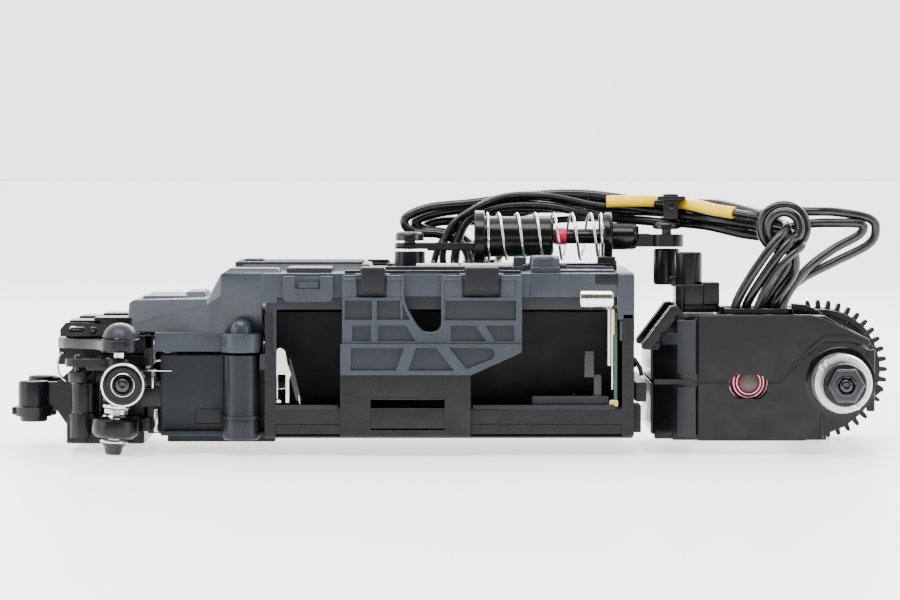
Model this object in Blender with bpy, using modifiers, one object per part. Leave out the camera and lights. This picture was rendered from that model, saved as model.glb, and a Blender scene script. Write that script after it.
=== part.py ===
"""A small radio-control car chassis, about 1:28 scale, without wheels or body shell.

+X points to the rear of the car, -Y to its left side and +Z up. The origin is under the
middle of the chassis, at the height of the kingpin tips. Sizes below are in millimetres
and the helpers turn them into Blender's metres.
"""
import math

import bmesh
import bpy
from mathutils import Matrix, Vector

MM = 0.001
GAP = 0.3                      # clearance between neighbouring pieces

# Driving dimensions
WHEELBASE = 98.0
FRONT_AXLE_X = -45.6
REAR_AXLE_X = FRONT_AXLE_X + WHEELBASE
AXLE_Z = 9.9
SIDES = {"left": -1, "right": 1}

# Chassis tub and battery bays: two AAA cells, one above the other, on each side
CELL_DIAMETER = 10.5
CELL_LENGTH = 44.5
TUB_FRONT, TUB_REAR = -26.6, 24.0
TUB_HALF_WIDTH = 23.0
FLOOR_LOW, FLOOR_TOP = 2.4, 3.2
TUB_TOP = 19.5
SILL_TOP = 6.7
WALL = 1.2
BAY_FRONT, BAY_REAR = -25.5, 22.4
BAY_INNER_Y = 11.6
BAY_OUTER_Y = TUB_HALF_WIDTH - WALL
COVER_LOW = TUB_TOP + GAP
COVER_INNER_TOP = FLOOR_TOP + 2 * CELL_DIAMETER + 0.1
COVER_TOP = 25.0

# Nose
NOSE_FRONT = -43.2
NOSE_HALF_WIDTH = 16.0
NOSE_TOP = 13.8
BOSS_X, BOSS_Y = -29.8, 21.0

# Battery clips
CLIP_INNER_Y, CLIP_OUTER_Y = 23.3, 24.6
CLIP_PIVOT_Y, CLIP_PIVOT_Z = 23.6, 24.6
CLIP_SLOTS = ((-13.9, -9.9), (0.5, 5.7))

# Kingpins, tilted 4 degrees back, and steering
KINGPIN_Y = 21.0
KINGPIN_LOW = (-47.4, 0.07)
KINGPIN_HIGH = (-46.15, 18.1)
KINGPIN_RADIUS = 0.8
RUNNING_RADIUS = 1.15
STEER_PIN_X = -52.2
TIE_ROD_Z = (10.3, 11.2)
SAVER_Z = 6.0

# Motor pod
POD_FRONT = 26.3
POD_HALF_WIDTH = 19.5
POD_LOW, POD_TOP = 1.8, 19.1
PARTING_Z = 9.8
LINK_X, LINK_Z = 25.15, 8.4
GEAR_MODULE = 0.48
SPUR_TEETH, PINION_TEETH = 40, 12
MOTOR_X = REAR_AXLE_X - GEAR_MODULE * (SPUR_TEETH + PINION_TEETH) / 2
AXLE_RADIUS = 1.0
GEAR_Y = 19.8

POD_PIECES = ("pod_lower_case", "pod_upper_case", "motor_can", "motor_end_bell", "axle_holder_left",
              "axle_holder_right", "damper_rear_post", "damper_rear_screw", "cable_clip",
              "wires_pod_rise", "wire_knot", "wires_rear_run")

# Damper
DAMPER_Z = 29.6
DAMPER_FRONT_X, DAMPER_REAR_X = -6.9, 29.4
SPRING_RADIUS, SPRING_WIRE = 3.3, 0.2

# Colour, roughness, metallic
MATERIALS = {
    "black_plastic": ((0.016, 0.018, 0.021), 0.45, 0.0),
    "grey_plastic": ((0.075, 0.085, 0.10), 0.42, 0.0),
    "pod_plastic": ((0.022, 0.021, 0.026), 0.38, 0.0),
    "steel": ((0.62, 0.61, 0.58), 0.28, 1.0),
    "nickel": ((0.78, 0.76, 0.71), 0.22, 1.0),
    "white_plastic": ((0.82, 0.82, 0.78), 0.45, 0.0),
    "red_plastic": ((0.62, 0.02, 0.06), 0.35, 0.0),
    "board": ((0.03, 0.10, 0.05), 0.5, 0.0),
    "wire": ((0.02, 0.02, 0.022), 0.4, 0.0),
}


def clear_scene():
    for item in list(bpy.data.objects):
        bpy.data.objects.remove(item, do_unlink=True)


def new_collection(name):
    collection = bpy.data.collections.new(name)
    bpy.context.scene.collection.children.link(collection)
    return collection


def make_materials():
    made = {}
    for name, (colour, roughness, metallic) in MATERIALS.items():
        material = bpy.data.materials.new(name)
        material.use_nodes = True
        shader = material.node_tree.nodes["Principled BSDF"]
        shader.inputs["Base Color"].default_value = (*colour, 1.0)
        shader.inputs["Roughness"].default_value = roughness
        shader.inputs["Metallic"].default_value = metallic
        made[name] = material
    return made


clear_scene()
PARTS = new_collection("rc_car_chassis")
TOOLS = new_collection("tools")
MATERIAL = make_materials()


# ---------------------------------------------------------------- shapes

def scaled(point):
    return Vector(point) * MM


def tool_object(mesh):
    """Every shape starts as a hidden tool; part() turns one into a visible piece."""
    shape = bpy.data.objects.new("shape", mesh)
    TOOLS.objects.link(shape)
    shape.hide_render = True
    shape.display_type = "WIRE"
    return shape


def mesh_from(bm):
    bmesh.ops.recalc_face_normals(bm, faces=bm.faces)
    mesh = bpy.data.meshes.new("shape")
    bm.to_mesh(mesh)
    bm.free()
    return mesh


def smooth(shape):
    shape.data.shade_smooth()
    shape.data.set_sharp_from_angle(angle=math.radians(35))


def frustum(low, high, top_low, top_high):
    """Box from low to high whose top face is the XY rectangle top_low to top_high."""
    centre = (scaled(low) + scaled(high)) / 2
    bm = bmesh.new()
    bmesh.ops.create_cube(bm, size=1.0)
    for vertex in bm.verts:
        is_top = vertex.co.z > 0
        near, far = (top_low, top_high) if is_top else (low, high)
        x = far[0] if vertex.co.x > 0 else near[0]
        y = far[1] if vertex.co.y > 0 else near[1]
        z = high[2] if is_top else low[2]
        vertex.co = scaled((x, y, z)) - centre
    shape = tool_object(mesh_from(bm))
    shape.location = centre
    return shape


def box(low, high):
    return frustum(low, high, low[:2], high[:2])


def side_box(side, x, y, z):
    """Box on one side of the car; y is given as distances from the middle."""
    ends = sorted((side * y[0], side * y[1]))
    return box((x[0], ends[0], z[0]), (x[1], ends[1], z[1]))


def aim(shape, start, direction):
    """Put the shape's local origin at start and its local Z along direction."""
    turn = Vector((0, 0, 1)).rotation_difference(Vector(direction))
    shape.rotation_mode = "QUATERNION"
    shape.rotation_quaternion = turn
    shape.location = scaled(start)


def cylinder(radius, start, end, segments=16, end_radius=None):
    length = (scaled(end) - scaled(start)).length
    bm = bmesh.new()
    top = radius if end_radius is None else end_radius
    bmesh.ops.create_cone(bm, cap_ends=True, segments=segments, radius1=radius * MM,
                          radius2=top * MM, depth=length)
    bmesh.ops.translate(bm, verts=bm.verts, vec=(0, 0, length / 2))
    shape = tool_object(mesh_from(bm))
    smooth(shape)
    aim(shape, start, scaled(end) - scaled(start))
    return shape


def turned(profile, start, direction, closed=False, steps=16):
    """Turn (radius, height) points, listed from the top down the outer side."""
    mesh = bpy.data.meshes.new("profile")
    points = [scaled((radius, 0, height)) for radius, height in profile]
    edges = [(i, i + 1) for i in range(len(points) - 1)]
    if closed:
        edges.append((len(points) - 1, 0))
    mesh.from_pydata(points, edges, [])
    shape = tool_object(mesh)
    screw = shape.modifiers.new("turn", "SCREW")
    screw.axis = "Z"
    screw.steps = screw.render_steps = steps
    screw.use_merge_vertices = True
    screw.merge_threshold = 0.00001
    screw.use_smooth_shade = True
    aim(shape, start, direction)
    return shape


def ring(outer, inner, start, direction, length, steps=16):
    profile = [(inner, length), (outer, length), (outer, 0), (inner, 0)]
    return turned(profile, start, direction, closed=True, steps=steps)


PLANES = {
    "XY": Matrix(((1, 0, 0), (0, 1, 0), (0, 0, 1))),
    "XZ": Matrix(((1, 0, 0), (0, 0, -1), (0, 1, 0))),
    "YZ": Matrix(((0, 0, 1), (1, 0, 0), (0, 1, 0))),
}


def curve_to_mesh(curve_object):
    """Replace a curve object by a welded mesh object in the same place."""
    bpy.context.view_layer.update()
    graph = bpy.context.evaluated_depsgraph_get()
    mesh = bpy.data.meshes.new_from_object(curve_object.evaluated_get(graph))
    bm = bmesh.new()
    bm.from_mesh(mesh)
    bmesh.ops.remove_doubles(bm, verts=bm.verts, dist=0.000002)
    bmesh.ops.recalc_face_normals(bm, faces=bm.faces)
    bm.to_mesh(mesh)
    bm.free()
    shape = tool_object(mesh)
    shape.matrix_world = curve_object.matrix_world.copy()
    bpy.data.objects.remove(curve_object, do_unlink=True)
    return shape


def prism(outline, span, plane="XZ"):
    """Flat outline in a plane, thickened between the two values of span along its normal."""
    curve = bpy.data.curves.new("outline", "CURVE")
    curve.dimensions = "2D"
    curve.fill_mode = "BOTH"
    curve.extrude = abs(span[1] - span[0]) / 2 * MM
    spline = curve.splines.new("POLY")
    spline.points.add(len(outline) - 1)
    for point, (u, v) in zip(spline.points, outline):
        point.co = (u * MM, v * MM, 0, 1)
    spline.use_cyclic_u = True
    shape = bpy.data.objects.new("outline", curve)
    TOOLS.objects.link(shape)
    turn = PLANES[plane]
    normal_step = turn @ Vector((0, 0, 1))
    middle = (span[0] + span[1]) / 2 * MM
    if plane == "XZ":
        middle = -middle
    shape.matrix_world = Matrix.Translation(normal_step * middle) @ turn.to_4x4()
    return curve_to_mesh(shape)


def smooth_route(points, step):
    """Points about step apart on a Catmull-Rom curve through the given points."""
    knots = [Vector(p) for p in points]
    knots = [2 * knots[0] - knots[1], *knots, 2 * knots[-1] - knots[-2]]
    route = []
    for a, b, c, d in zip(knots, knots[1:], knots[2:], knots[3:]):
        count = max(1, round((c - b).length / step))
        for i in range(count):
            t = i / count
            route.append(0.5 * (2 * b + (c - a) * t + (2 * a - 5 * b + 4 * c - d) * t ** 2
                                + (3 * b - a - 3 * c + d) * t ** 3))
    route.append(knots[-2])
    return route


def tube(points, radius):
    curve = bpy.data.curves.new("tube", "CURVE")
    curve.dimensions = "3D"
    curve.bevel_depth = radius * MM
    curve.bevel_resolution = 2
    curve.use_fill_caps = True
    spline = curve.splines.new("POLY")
    spline.points.add(len(points) - 1)
    for point, place in zip(spline.points, points):
        point.co = (*scaled(place), 1)
    shape = bpy.data.objects.new("tube", curve)
    TOOLS.objects.link(shape)
    wire = curve_to_mesh(shape)
    smooth(wire)
    return wire


def coil(radius, wire, start, direction, length, turns, per_turn=12):
    """Wire wound along direction from start."""
    turn = Vector((0, 0, 1)).rotation_difference(Vector(direction))
    count = round(turns * per_turn)
    points = []
    for i in range(count + 1):
        angle = 2 * math.pi * i / per_turn
        local = Vector((radius * math.cos(angle), radius * math.sin(angle), length * i / count))
        points.append(Vector(start) + turn @ local)
    return tube(points, wire)


def gear_outline(teeth, centre, phase=0.0):
    """Straight-sided gear teeth, slim enough to run with backlash."""
    pitch = GEAR_MODULE * teeth / 2
    tip, root = pitch + GEAR_MODULE, pitch - 1.25 * GEAR_MODULE
    step = 2 * math.pi / teeth
    outline = []
    for tooth in range(teeth):
        middle = (tooth + phase) * step
        for radius, share in ((root, -0.27), (tip, -0.13), (tip, 0.13), (root, 0.27)):
            angle = middle + share * step
            outline.append((centre[0] + radius * math.cos(angle),
                            centre[1] + radius * math.sin(angle)))
    return outline


# ---------------------------------------------------------------- assembly

def boolean(target, operation, tools):
    for tool in tools:
        modifier = target.modifiers.new(operation.lower(), "BOOLEAN")
        modifier.operation = operation
        modifier.solver = "EXACT"
        modifier.object = tool


def set_origin(piece, pivot):
    """Move the object's origin to pivot without moving its surface."""
    target = scaled(pivot)
    offset = piece.matrix_world.inverted() @ target
    piece.data.transform(Matrix.Translation(-offset))
    piece.location = target


def part(name, material, base, add=(), cut=(), keep=(), pivot=None):
    """Turn base into the named piece: unite it with add, limit it to keep, remove cut."""
    TOOLS.objects.unlink(base)
    PARTS.objects.link(base)
    base.name = name
    base.data.name = name
    base.hide_render = False
    base.display_type = "TEXTURED"
    base.data.materials.clear()
    base.data.materials.append(MATERIAL[material])
    boolean(base, "UNION", add)
    boolean(base, "INTERSECT", keep)
    boolean(base, "DIFFERENCE", cut)
    if pivot:
        bpy.context.view_layer.update()
        set_origin(base, pivot)
    return base


# ---------------------------------------------------------------- chassis

def make_main_frame():
    """Tub: two battery bays beside a middle well, and the nose box in front."""
    tub = box((TUB_FRONT, -TUB_HALF_WIDTH, FLOOR_LOW), (TUB_REAR, TUB_HALF_WIDTH, TUB_TOP))
    nose = box((NOSE_FRONT, -NOSE_HALF_WIDTH, FLOOR_LOW), (TUB_FRONT + 0.5, NOSE_HALF_WIDTH, NOSE_TOP))
    skid = frustum((-40.5, -11.5, 1.2), (-25.5, 11.5, FLOOR_LOW + 0.2), (-42, -13), (-24, 13))
    add, cut = [nose, skid], []
    for side in SIDES.values():
        add.append(cylinder(2.6, (BOSS_X, side * BOSS_Y, 2.1), (BOSS_X, side * BOSS_Y, NOSE_TOP)))
        add.append(side_box(side, (BOSS_X - 1.2, BOSS_X + 1.2), (15.5, BOSS_Y), (2.6, NOSE_TOP - 0.4)))
        bay_x = (BAY_FRONT, BAY_REAR)
        cut.append(side_box(side, bay_x, (BAY_INNER_Y, BAY_OUTER_Y), (FLOOR_TOP, TUB_TOP + 1)))
        cut.append(side_box(side, bay_x, (BAY_OUTER_Y - 1, TUB_HALF_WIDTH + 1), (SILL_TOP, TUB_TOP + 1)))
    well = BAY_INNER_Y - WALL
    cut.append(box((BAY_FRONT, -well, FLOOR_TOP), (BAY_REAR, well, TUB_TOP + 1)))
    inner = NOSE_HALF_WIDTH - WALL
    cut.append(box((NOSE_FRONT + WALL, -inner, 3.4), (TUB_FRONT - 1, inner, NOSE_TOP + 1)))
    cut.append(box((-22.2, -1.9, 1.0), (-15.8, 1.9, FLOOR_TOP + 1)))
    part("main_frame", "black_plastic", tub, add=add, cut=cut)


def make_top_cover():
    """Roof over the bays and the sloping nose cover, hollow from below."""
    half = TUB_HALF_WIDTH
    roof = frustum((-34.4, -half, COVER_LOW), (TUB_REAR, half, COVER_TOP),
                   (-33.0, -half + 1.0), (TUB_REAR, half - 1.0))
    snout = frustum((-46.2, -13.5, 16.7), (-32.0, 13.5, 21.0), (-45.3, -11.5), (-32.0, 11.5))
    rear = TUB_FRONT - GAP
    shoulder = frustum((-41.8, -19, 16.6), (rear, 19, 20.6), (-41.0, -13), (rear, 14))
    flange = box((-41.8, -19, NOSE_TOP + GAP), (rear, 19, 16.7))
    add = [snout, shoulder, flange]
    cut = []
    for side in SIDES.values():
        boss = (BOSS_X, side * BOSS_Y)
        add.append(cylinder(2.8, (*boss, NOSE_TOP + GAP), (*boss, 16.6)))
        add.append(cylinder(1.5, (*boss, 16.0), (*boss, 18.4), segments=16, end_radius=0.8))
        add.append(side_box(side, (-24.0, -17.2), (half - 0.6, 24.2), (20.9, 24.6)))
        cut.append(side_box(side, (-22.4, -18.8), (23.6, 24.9), (22.0, 23.6)))
    add.append(cylinder(2.2, (11.9, -12, COVER_TOP - 0.4), (11.9, -12, 27.2)))
    cut.append(box((BAY_FRONT, -BAY_OUTER_Y, 13), (BAY_REAR, BAY_OUTER_Y, COVER_INNER_TOP)))
    cut.append(box((-40.6, -11, 13), (-27.0, 11, 19.6)))
    cut.append(box((-6.3, -8.5, COVER_INNER_TOP - 1), (18.5, 8.5, COVER_TOP + 1)))
    cut.append(box((18.0, -4.4, 24.0), (TUB_REAR + 1, 4.4, COVER_TOP + 1)))
    part("top_cover", "grey_plastic", roof, add=add, cut=cut)


def clip_outline():
    return [(-16.2, 2.6), (1.7, 2.6), (1.7, 11.2), (8.65, 14.4), (8.65, 25.0), (-2.2, 25.0),
            (-2.2, 17.4), (-2.6, 16.9), (-4.6, 16.9), (-7.4, 21.3), (-7.4, 25.0),
            (-15.9, 25.0), (-15.9, 15.5), (-16.2, 15.4)]


def ledge_outline():
    return [(-16.1, 11.2), (1.5, 11.2), (8.5, 14.5), (8.5, 16.0), (-16.1, 16.0)]


def make_battery_clips():
    """Side clips that hold the cells. Each swings out and up on two round bars."""
    for word, side in SIDES.items():
        plate = prism(clip_outline(), sorted((side * CLIP_INNER_Y, side * CLIP_OUTER_Y)))
        add = [prism(ledge_outline(), sorted((side * (CLIP_OUTER_Y - 0.3), side * 25.4)))]
        cut = []
        for low, high in CLIP_SLOTS:
            cut.append(side_box(side, (low, high), (22.0, 26.0), (21.0, 26.0)))
        clip = part(f"battery_clip_{word}", "grey_plastic", plate, add=add, cut=cut,
                    pivot=(0, side * CLIP_PIVOT_Y, CLIP_PIVOT_Z))
        bars = [cylinder(0.5, (low - 0.4, side * CLIP_PIVOT_Y, CLIP_PIVOT_Z - 0.1),
                         (high + 0.4, side * CLIP_PIVOT_Y, CLIP_PIVOT_Z - 0.1), segments=12)
                for low, high in CLIP_SLOTS]
        boolean(clip, "UNION", bars)


def make_clip_hinges():
    """Hooks that reach over the clips' bars from a strip on the roof's edge."""
    for word, side in SIDES.items():
        strip = side_box(side, (-15.9, 8.7), (21.0, 22.6), (25.3, 25.9))
        add = []
        for low, high in CLIP_SLOTS:
            x = (low + 0.4, high - 0.4)
            add.append(side_box(side, x, (22.0, 25.5), (25.4, 25.9)))
            add.append(side_box(side, x, (24.9, 25.5), (22.3, 25.8)))
        part(f"clip_hinge_{word}", "black_plastic", strip, add=add)


def make_power_switch():
    knob = box((-21.9, -1.5, 1.9), (-19.4, 1.5, 4.4))
    part("power_switch", "black_plastic", knob, pivot=(-20.6, 0, 3.0))


def make_battery_terminals():
    """End boards and contacts of the two battery bays, one cell's length apart."""
    cell_front = BAY_FRONT + 1.35
    for word, side in SIDES.items():
        board = side_box(side, (BAY_REAR - 1.1, BAY_REAR - GAP), (12.0, 21.4), (3.6, 19.3))
        part(f"terminal_board_{word}", "board", board)
        fork = [(-12.2, 14.6), (-12.2, 6.4), (-13.6, 4.0), (-20.6, 4.0), (-20.6, 6.4),
                (-19.0, 13.2), (-17.4, 14.9), (-14.4, 14.9)]
        plate = prism([(-side * y, z) for y, z in fork], (BAY_FRONT + GAP, BAY_FRONT + 0.8), "YZ")
        nose = cylinder(1.6, (BAY_FRONT + 0.7, side * 16.5, 9.0), (cell_front, side * 16.5, 9.0),
                        end_radius=0.9)
        part(f"front_contact_{word}", "nickel", plate, add=[nose])
        plate = side_box(side, (cell_front + CELL_LENGTH, BAY_REAR - 1.1 - GAP), (13.0, 20.8), (12.0, 22.8))
        part(f"rear_contact_{word}", "nickel", plate)


def make_electronics():
    """Receiver board on the middle well, its two plugs and the steering servo's motor."""
    board = box((-24.4, -9.8, 19.9), (20.8, 9.8, 21.0))
    part("receiver_board", "board", board)
    part("connector_front", "white_plastic", box((-5.9, -8.2, 21.3), (0.0, -4.4, 26.0)))
    part("connector_rear", "white_plastic", box((0.3, -8.2, 21.3), (7.6, -4.4, 25.9)))
    can = cylinder(4.6, (-40.2, 0, 9.2), (-29.0, 0, 9.2), segments=24)
    tail = cylinder(1.4, (-29.2, 0, 9.2), (-28.2, 0, 9.2), segments=16)
    part("servo_motor", "steel", can, add=[tail])


# ---------------------------------------------------------------- front end

def kingpin_point(side, share):
    """Point on a kingpin's axis: share 0 at its tip, 1 at the top of its head."""
    low = Vector((KINGPIN_LOW[0], side * KINGPIN_Y, KINGPIN_LOW[1]))
    high = Vector((KINGPIN_HIGH[0], side * KINGPIN_Y, KINGPIN_HIGH[1]))
    return low.lerp(high, share)


def kingpin_at(side, distance):
    length = (kingpin_point(side, 1) - kingpin_point(side, 0)).length
    return kingpin_point(side, distance / length)


def kingpin_axis():
    return kingpin_point(1, 1) - kingpin_point(1, 0)


def kingpin_bore(side, radius=RUNNING_RADIUS):
    return cylinder(radius, kingpin_at(side, -2), kingpin_at(side, 20))


def make_kingpins():
    """Pin with a domed head above the upper plate, a clip ring and a tapered foot nut."""
    head = 15.97 + GAP
    profile = [(0, 18.1), (0.9, 17.95), (1.6, 17.5), (2.05, 16.9), (2.2, head),
               (KINGPIN_RADIUS, head), (KINGPIN_RADIUS, 5.45), (1.8, 5.4), (1.8, 5.1),
               (KINGPIN_RADIUS, 5.05), (KINGPIN_RADIUS, 2.1), (1.85, 2.0), (1.85, 1.65),
               (1.55, 1.6), (1.45, 0.7), (1.0, 0.0), (0, 0.0)]
    for word, side in SIDES.items():
        pin = turned(profile, kingpin_at(side, 0), kingpin_axis())
        part(f"kingpin_{word}", "steel", pin)


def make_springs_and_seats():
    for word, side in SIDES.items():
        spring = coil(1.5, 0.17, kingpin_at(side, 5.68), kingpin_axis(), 0.55, 1.5, per_turn=10)
        part(f"kingpin_spring_{word}", "steel", spring, pivot=kingpin_at(side, 5.68))
        seat = ring(1.9, RUNNING_RADIUS, kingpin_at(side, 6.45), kingpin_axis(), 0.35)
        part(f"spring_seat_{word}", "steel", seat)


def make_knuckles():
    """Sleeve on the kingpin, hub with the stub axle, and the forward steering arm."""
    for word, side in SIDES.items():
        sleeve = cylinder(1.9, kingpin_at(side, 7.4), kingpin_at(side, 13.3))
        hub_in = (FRONT_AXLE_X, side * 21.4, AXLE_Z)
        hub_out = (FRONT_AXLE_X, side * 24.6, AXLE_Z)
        stub_end = (FRONT_AXLE_X, side * 28.3, AXLE_Z)
        hub = cylinder(2.8, hub_in, hub_out, segments=20)
        stub = cylinder(AXLE_RADIUS, hub_in, stub_end, segments=16)
        arm = side_box(side, (STEER_PIN_X, -46.6), (KINGPIN_Y - 1.1, KINGPIN_Y + 1.1), (12.1, 13.2))
        eye = cylinder(1.7, (STEER_PIN_X, side * KINGPIN_Y, 12.1), (STEER_PIN_X, side * KINGPIN_Y, 13.2))
        hole = cylinder(1.0, (STEER_PIN_X, side * KINGPIN_Y, 11), (STEER_PIN_X, side * KINGPIN_Y, 15))
        part(f"knuckle_{word}", "black_plastic", sleeve, add=[hub, stub, arm, eye],
             cut=[kingpin_bore(side), hole])


def make_front_bearings():
    for word, side in SIDES.items():
        start = (FRONT_AXLE_X, side * 24.95, AXLE_Z)
        race = ring(3.0, AXLE_RADIUS + 0.25, start, (0, side, 0), 2.85, steps=28)
        part(f"front_bearing_{word}", "steel", race)


def make_upper_plate():
    half = [(-55.8, 10), (-52.5, 14), (-49.2, 18.4), (-48.9, 22.2), (-47.6, 23.8), (-46.2, 24.2),
            (-44.8, 23.8), (-43.7, 22.2)]
    outline = [(x, -y) for x, y in half] + [(x, y) for x, y in reversed(half)]
    plate = prism(outline, (14.2, 15.8), "XY")
    lip = box((-55.8, -9.4, 11.9), (-54.8, 9.4, 14.4))
    rib = box((-54.6, -10.5, 15.6), (-47.5, 10.5, 16.4))
    part("suspension_upper_plate", "black_plastic", plate, add=[lip, rib],
         cut=[kingpin_bore(side) for side in SIDES.values()])


def make_lower_arm_plate():
    block = box((-54.5, -14, 1.0), (NOSE_FRONT - GAP, 14, 3.8))
    add = []
    for side in SIDES.values():
        add.append(side_box(side, (-49.4, -45.4), (13, KINGPIN_Y), (2.5, 4.0)))
        add.append(cylinder(3.1, kingpin_at(side, 2.35), kingpin_at(side, 4.8), segments=24))
        post = (-51.9, side * 14)
        add.append(cylinder(2.1, (*post, 2.0), (*post, 5.4)))
        add.append(cylinder(1.7, (*post, 5.0), (*post, 9.6)))
    part("lower_arm_plate", "black_plastic", block, add=add,
         cut=[kingpin_bore(side) for side in SIDES.values()])


def make_front_bumper():
    bar = box((-60.6, -8, 4.7), (-58.2, 8, 6.2))
    add = []
    for side in SIDES.values():
        post = (-59.4, side * 8)
        add.append(cylinder(2.2, (*post, 3.9), (*post, 9.6)))
        add.append(cylinder(2.7, (*post, 4.6), (*post, 6.2)))
        add.append(side_box(side, (-62.48, -59.4), (7.2, 8.8), (4.8, 6.0)))
        add.append(side_box(side, (-59.4, -54.8), (7.2, 8.8), (5.1, 8.6)))
    part("front_bumper", "black_plastic", bar, add=add)


def make_steering():
    """Servo case, the swinging servo saver and the tie rod that joins both knuckles."""
    part("servo_case", "black_plastic", box((-50.2, -10.5, 4.2), (NOSE_FRONT - GAP, 10.5, 13.6)))
    low, high = TIE_ROD_Z
    bar = box((STEER_PIN_X - 0.8, -22, low), (STEER_PIN_X + 0.8, 22, high))
    add = [cylinder(0.45, (STEER_PIN_X - 0.5, 0, 10.75), (-54.55, 0, 10.75), segments=12)]
    for side in SIDES.values():
        foot = (STEER_PIN_X, side * KINGPIN_Y)
        add.append(cylinder(0.45, (*foot, high - 0.3), (*foot, 13.8), segments=12))
    part("tie_rod", "grey_plastic", bar, add=add)
    lever = [(-1.6, SAVER_Z), (-1.5, 11.5), (1.5, 11.5), (1.6, SAVER_Z), (0.8, SAVER_Z - 1.5),
             (-0.8, SAVER_Z - 1.5)]
    plate = prism(lever, (-54.5, -53.5), "YZ")
    shaft = cylinder(1.0, (-53.8, 0, SAVER_Z), (-50.5, 0, SAVER_Z), segments=16)
    slot = box((-55, -0.8, 9.6), (-53, 0.8, 12))
    part("servo_saver", "black_plastic", plate, add=[shaft], cut=[slot], pivot=(-52, 0, SAVER_Z))


# ---------------------------------------------------------------- motor pod

def pod_plan(inset=0.0):
    """Plan of the pod, which keeps its front corners cut off."""
    half = [(POD_FRONT + inset, 16.5 - inset), (32.8, POD_HALF_WIDTH - inset), (58, POD_HALF_WIDTH - inset)]
    outline = [(x, -y) for x, y in half] + [(x, y) for x, y in reversed(half)]
    return prism(outline, (0, 22), "XY")


def pod_cavity(outline):
    """Hollow under a side outline that keeps one wall thickness all round."""
    hollow = prism(outline, (-POD_HALF_WIDTH, POD_HALF_WIDTH))
    boolean(hollow, "INTERSECT", [pod_plan(inset=WALL)])
    return hollow


def axle_holes(radius):
    return [cylinder(radius, (REAR_AXLE_X, side * 17, AXLE_Z), (REAR_AXLE_X, side * 21, AXLE_Z),
                     segments=24) for side in SIDES.values()]


def motor_window():
    outline = [(37.2, 8.6), (38.2, 7.6), (41.5, 7.6), (42.5, 8.6), (42.5, 9.9), (41.5, 10.9),
               (38.2, 10.9), (37.2, 9.9)]
    return prism(outline, (-21, -17))


def shaft_hole():
    return cylinder(1.8, (MOTOR_X, 17, AXLE_Z), (MOTOR_X, 21, AXLE_Z), segments=16)


def make_pod_cases():
    """Lower case with the axle carriers, and the cover above the parting line."""
    low = [(26.6, 2.6), (32.8, POD_LOW), (47.4, POD_LOW), (49.6, 2.3), (53.2, 3.8), (55.6, 5.8),
           (56.9, 8.0), (57.3, 10.4), (57.1, 14.2), (53.6, 15.5), (49.8, 15.4), (43.8, PARTING_Z),
           (POD_FRONT, PARTING_Z)]
    low_inside = [(27.6, 3.2), (47.0, 3.2), (49.0, 3.6), (52.5, 5.0), (54.6, 6.8), (55.7, 8.6),
                  (56.0, 10.6), (56.0, 17), (27.6, 17)]
    lower = prism(low, (-POD_HALF_WIDTH, POD_HALF_WIDTH))
    cuts = [pod_cavity(low_inside), box((29.5, -16.2, 0), (50.6, 14.5, 4)),
            motor_window(), shaft_hole(), *axle_holes(4.3)]
    part("pod_lower_case", "pod_plastic", lower, keep=[pod_plan()], cut=cuts)

    top = [(POD_FRONT, PARTING_Z + GAP), (43.7, PARTING_Z + GAP), (49.5, 15.8), (53.4, 15.9),
           (56.4, 14.9), (56.6, 15.2), (50.0, POD_TOP), (29.8, POD_TOP), (POD_FRONT, 14.6)]
    top_inside = [(27.6, 9), (27.6, 14.2), (30.4, 17.9), (49.0, 17.9), (50.6, 16.8), (50.6, 9)]
    upper = prism(top, (-POD_HALF_WIDTH, POD_HALF_WIDTH))
    ribs = [prism([(24.9, 14.4), (27.0, 14.4), (30.9, 20.0), (29.4, 20.9)], (y, y + 1.2))
            for y in (-15.5, -12.3)]
    cuts = [pod_cavity(top_inside), box((36.6, -15.5, 17), (45.3, -8.5, 21)),
            motor_window(), shaft_hole()]
    upper_case = part("pod_upper_case", "pod_plastic", upper, keep=[pod_plan()], cut=cuts)
    boolean(upper_case, "UNION", ribs)


def motor_outline():
    """Round can with flats above and below."""
    radius, flat = 10.05, 7.55
    edge = math.asin(flat / radius)
    arc = [edge * (i / 6 * 2 - 1) for i in range(7)]
    right = [(radius * math.cos(a), radius * math.sin(a)) for a in arc]
    left = [(-x, -z) for x, z in right]
    return [(MOTOR_X + x, AXLE_Z + z) for x, z in right + left]


def make_motor():
    can = prism(motor_outline(), (-12.7, 12.0))
    neck = cylinder(3.0, (MOTOR_X, 11.5, AXLE_Z), (MOTOR_X, 13.4, AXLE_Z))
    bore = cylinder(1.1, (MOTOR_X, -12.2, AXLE_Z), (MOTOR_X, 14, AXLE_Z), segments=16)
    part("motor_can", "steel", can, add=[neck], cut=[bore])
    profile = [(0, 5.1), (1.0, 5.0), (1.2, 4.4), (2.1, 4.3), (2.3, 3.6), (3.4, 3.5), (3.6, 2.6),
               (7.2, 2.4), (7.3, 0), (0, 0)]
    bell = turned(profile, (MOTOR_X, -13.0, AXLE_Z), (0, -1, 0))
    part("motor_end_bell", "red_plastic", bell)
    shaft = cylinder(0.8, (MOTOR_X, -11.9, AXLE_Z), (MOTOR_X, 22.9, AXLE_Z), segments=16)
    part("motor_shaft", "steel", shaft)
    teeth = prism(gear_outline(PINION_TEETH, (MOTOR_X, AXLE_Z), phase=0.5), (GEAR_Y, GEAR_Y + 2.6))
    bore = cylinder(1.1, (MOTOR_X, GEAR_Y - 1, AXLE_Z), (MOTOR_X, GEAR_Y + 4, AXLE_Z), segments=16)
    part("pinion", "steel", teeth, cut=[bore], pivot=(MOTOR_X, GEAR_Y, AXLE_Z))


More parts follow.
